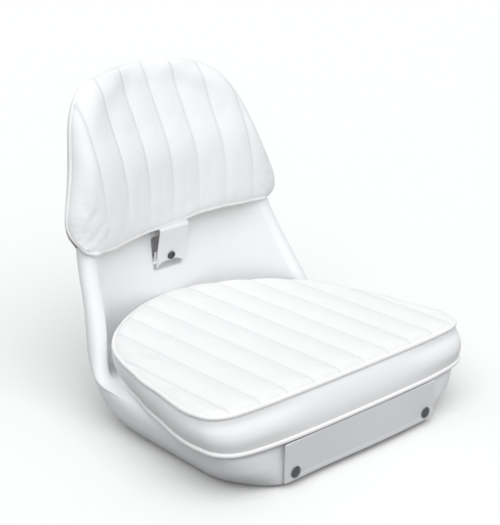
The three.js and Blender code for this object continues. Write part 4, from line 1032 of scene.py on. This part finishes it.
# Piping of the back cover, sewn between its front and rear and along its hem.
# The edge's piping runs on round the slack lower corner into the hem's.
edge_cord_radius = 2.6
hem_ends = np.array([[hem_end, hood_hem_level(hem_end) - 0.4], [171, 223.4]])
hem_all = np.concatenate([hem_line, hem_ends])
hem_all_x, hem_all_z = hem_all.T
hem_depth = np.minimum.reduce([
    pad_face(hem_all_x, hem_all_z + piping_radius) - 0.6,
    shell_face(hem_all_x, hem_all_z, -1, cord_clearance),
    shell_face(hem_all_x, hem_all_z - piping_radius, -1, cord_clearance),
])
to_edge = smooth_step(hem_all_x, 148, 171)
hem_depth = hem_depth * (1 - to_edge) + front_seam[0] * to_edge
hem_path = np.column_stack([hem_all_x, hem_depth, hem_all_z])
hem_cord = piping("hood_hem_piping", hem_path, piping_radius, False)
finish_piece(hem_cord, piping_vinyl, "seat_shell", "piping", "back_hem_welt")
edge_path = np.insert(edge_line, 1, front_seam, axis=1)
corner_path = smooth_path([edge_path[-3], edge_path[-1], hem_path[1]], 8)
edge_path = np.concatenate([edge_path[:-2], corner_path[1:]])
edge_cord = piping("hood_edge_piping", edge_path, edge_cord_radius, False)
finish_piece(edge_cord, piping_vinyl, "seat_shell", "piping", "back_edge_welt")

# Front flap. A hemmed sheet of vinyl hangs from the seat's lower piping over
# the shell's front and snaps to it at two corners.
flap_half, flap_low, flap_high, flap_y = 134, 8, 59.4, -179.54


def flap_face(x, z):
    """The flap: a slack wave held flat at the snaps, with a turned hem round its edge."""
    down = (flap_high - z) / (flap_high - flap_low)
    near = np.exp(-((np.abs(x) - snap_x) / 16) ** 2) * np.exp(-((z - snap_z) / 14) ** 2)
    wave = 1.1 * np.sin(x / 41 + 0.6) * down - 1.4 * smooth_step(-x, 120, 134) * down
    edge = np.minimum(flap_half - np.abs(x), z - flap_low)
    hem = -0.35 * smooth_step(edge, 5.2, 4.0)
    return np.stack([x, flap_y - wave * (1 - near) + 0.5 * near + hem, z], axis=-1)


flap_x, flap_z = np.meshgrid(np.linspace(-flap_half, flap_half, 240),
                             np.linspace(flap_low, flap_high, 60))
flap = grid_form("flap_sheet", flap_face(flap_x, flap_z), closed=False)
thicken(flap, sheet_thickness, 0)
# The flap's vinyl is a darker copy of the same white vinyl: painted shade for the hanging flap,
# which lies in shade under the cushion.
flap_vinyl_painted_shade = vinyl("flap_vinyl_painted_shade", (0.83, 0.84, 0.86), (0.88, 0.885, 0.895))
finish_piece(flap, flap_vinyl_painted_shade, "flap", "vinyl", "front_flap")

# Snap fasteners. Plated caps with a rolled rim close onto studs screwed to the
# shell. The caps are spun anew from their profile, the rest stays as built.


def spun_cap(name, profile, place, lean=0.0):
    """A turned cap from half its profile: pairs of radius and reach towards -Y."""
    turn = np.linspace(0, 2 * math.pi, 48, endpoint=False)
    rings = np.array([
        np.column_stack([radius * np.cos(turn), np.full(48, -reach), radius * np.sin(turn)])
        for radius, reach in profile])
    y, z = rings[..., 1].copy(), rings[..., 2].copy()
    rings[..., 1] = y * math.cos(lean) - z * math.sin(lean)
    rings[..., 2] = y * math.sin(lean) + z * math.cos(lean)
    rings = rings + np.array(place)
    cap = grid_form(name, rings)
    seal(cap, fill=True, nearest=0.000001)
    return cap


# The plating's colour is set near black: a painted dark reflection, standing for the dark surround
# that the chrome would mirror. The noise varies its tone and roughness at random.
snap_metal_painted_dark, tree, shader, place = new_material("plated_snap_painted_dark_reflection")
wear, fine = noise(tree, place, 260.0, 5.0), noise(tree, place, 2600.0)
dress(tree, shader, mixed(tree, wear, (0.06, 0.063, 0.066), (0.12, 0.124, 0.128)),
      mapped(tree, wear, 0.12, 0.26), fine, strength=0.06, distance=0.0002, Metallic=1.0)

cap_seat = 1.15
dome = [(0.05, -1.2), (2.1, -1.2), (2.1, 0.1), (6.6, 0.1), (7.2, 0.25), (7.5, 0.65), (7.4, 1.05),
        (7.0, 1.35), (6.6, 1.5), (6.0, 1.95), (5.0, 2.5), (3.8, 2.95), (2.4, 3.25), (1.1, 3.38),
        (0.05, 3.4)]
for side, x in (("left", -snap_x), ("right", snap_x)):
    cap = spun_cap("snap_dome_" + side, dome, (x, flap_y - cap_seat, snap_z))
    finish_piece(cap, snap_metal_painted_dark, "flap", "snap_chrome", "flap_cap_" + side)
keep_as_built(snap_metal_painted_dark, "flap_socket_left", "flap_socket_right", "shell_stud_left",
              "shell_stud_right", "strap_socket", "tab_stud")

# Strap. A hemmed sheet of the vinyl with a rounded end hangs from the hood's hem
# over the slot. A ring cap through it closes onto the tab's stud.
strap_low, strap_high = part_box("front_strap")
strap_lean, strap_rise, strap_half, strap_flare = 0.235, 8, 25, 2.6
strap_foot, snap_level, cap_out = 151.5, 164.5, 1.3
strap_hinge = (float(strap_low.y) / mm + 1, float(strap_high.z) / mm - 1)
strap_length = (strap_hinge[1] - strap_foot) / math.cos(strap_lean)


def strap_place(x, down, out):
    """A place on the strap: across, down from its hinge, or up to the hem's cord where
    that is less than nought, and out from its middle."""
    fall, turned = np.maximum(down, 0), np.maximum(-down, 0) / strap_rise
    cord_y, cord_z = (np.interp(x, hem_path[:, 0], hem_path[:, k]) for k in (1, 2))
    y = strap_hinge[0] + fall * math.sin(strap_lean) - out * math.cos(strap_lean)
    z = strap_hinge[1] - fall * math.cos(strap_lean) - out * math.sin(strap_lean)
    return np.stack([x, y + (cord_y - y) * turned, z + (cord_z - 1 - z) * turned], axis=-1)


snap_down = (strap_hinge[1] - snap_level) / math.cos(strap_lean)
strap_x, strap_share = np.meshgrid(np.linspace(-strap_half, strap_half, 81), np.linspace(0, 1, 72))
strap_end = strap_length - 6.5 * np.sqrt(np.maximum(0, 1 - (strap_x / 23) ** 2))
strap_down = -strap_rise + (strap_end + strap_rise) * strap_share
from_middle = np.abs(strap_x) / strap_half
flare = strap_flare * from_middle ** 2 * smooth_step(strap_down, 20, strap_length)
edge = np.minimum(strap_half - np.abs(strap_x), strap_end - strap_down)
raised = 0.35 * smooth_step(edge, 4.6, 3.6)
strap_points = strap_place(strap_x, strap_down, flare + raised)
strap = grid_form("strap_sheet", strap_points, closed=False)
thicken(strap, sheet_thickness, 0)
# The strap takes the flap's darker vinyl, with the same painted shade.
finish_piece(strap, flap_vinyl_painted_shade, "strap", "vinyl", "front_strap")

ring = [(0.05, -1.2), (2.1, -1.2), (2.1, 0.1), (5.4, 0.1), (5.9, 0.25), (6.2, 0.7), (6.15, 1.4),
        (5.8, 2.1), (5.2, 2.7), (4.4, 3.1), (3.7, 3.2), (3.1, 2.9), (2.7, 2.3), (2.4, 1.5),
        (1.4, 1.2), (0.05, 1.1)]
ring_place = strap_place(0, snap_down, cap_out)
ring_cap = spun_cap("snap_ring", ring, ring_place, strap_lean)
finish_piece(ring_cap, snap_metal_painted_dark, "strap", "snap_chrome", "strap_cap")

# Tab. A plain strip of the vinyl runs down from the hood's rear hem, forward
# through the slot and up behind the strap, where it carries the stud.
tab_rise, tab_top, tab_half, tab_gap, tab_clearance = 155, 203, 24.8, 5.6, 2.2


def behind_shell(level):
    """Depth of the tab where it lies on the shell's rear face."""
    sizes = back_at(level)
    return float(sizes["front"] + sizes["thickness"]) + tab_clearance


tab_rear, tab_low = behind_shell(tab_top), behind_shell(tab_rise + 5)
turn_down = (strap_hinge[1] - tab_rise) / math.cos(strap_lean)
tab_bends = [
    strap_place(0, snap_down - 6.3, -tab_gap)[1:],
    strap_place(0, snap_down + 1, -tab_gap)[1:],
    strap_place(0, turn_down, -tab_gap)[1:] + [3, 0],
    (tab_low - 3, tab_rise + 0.5), (tab_low, tab_rise + 5), (tab_rear, tab_top),
]
tab_line = smooth_path(tab_bends, 90)
tab_x = np.linspace(-tab_half, tab_half, 60)
tab_rings = [np.column_stack([tab_x, np.full(60, y), np.full(60, z)]) for y, z in tab_line]
tab = grid_form("tab_sheet", tab_rings, closed=False)
thicken(tab, sheet_thickness, 0)
finish_piece(tab, plain_vinyl, "tab", "vinyl", "rear_tab")

# The box round the finished scene's shown objects, leaving out the floor.
bpy.ops.object.select_all(action="DESELECT")
low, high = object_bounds()
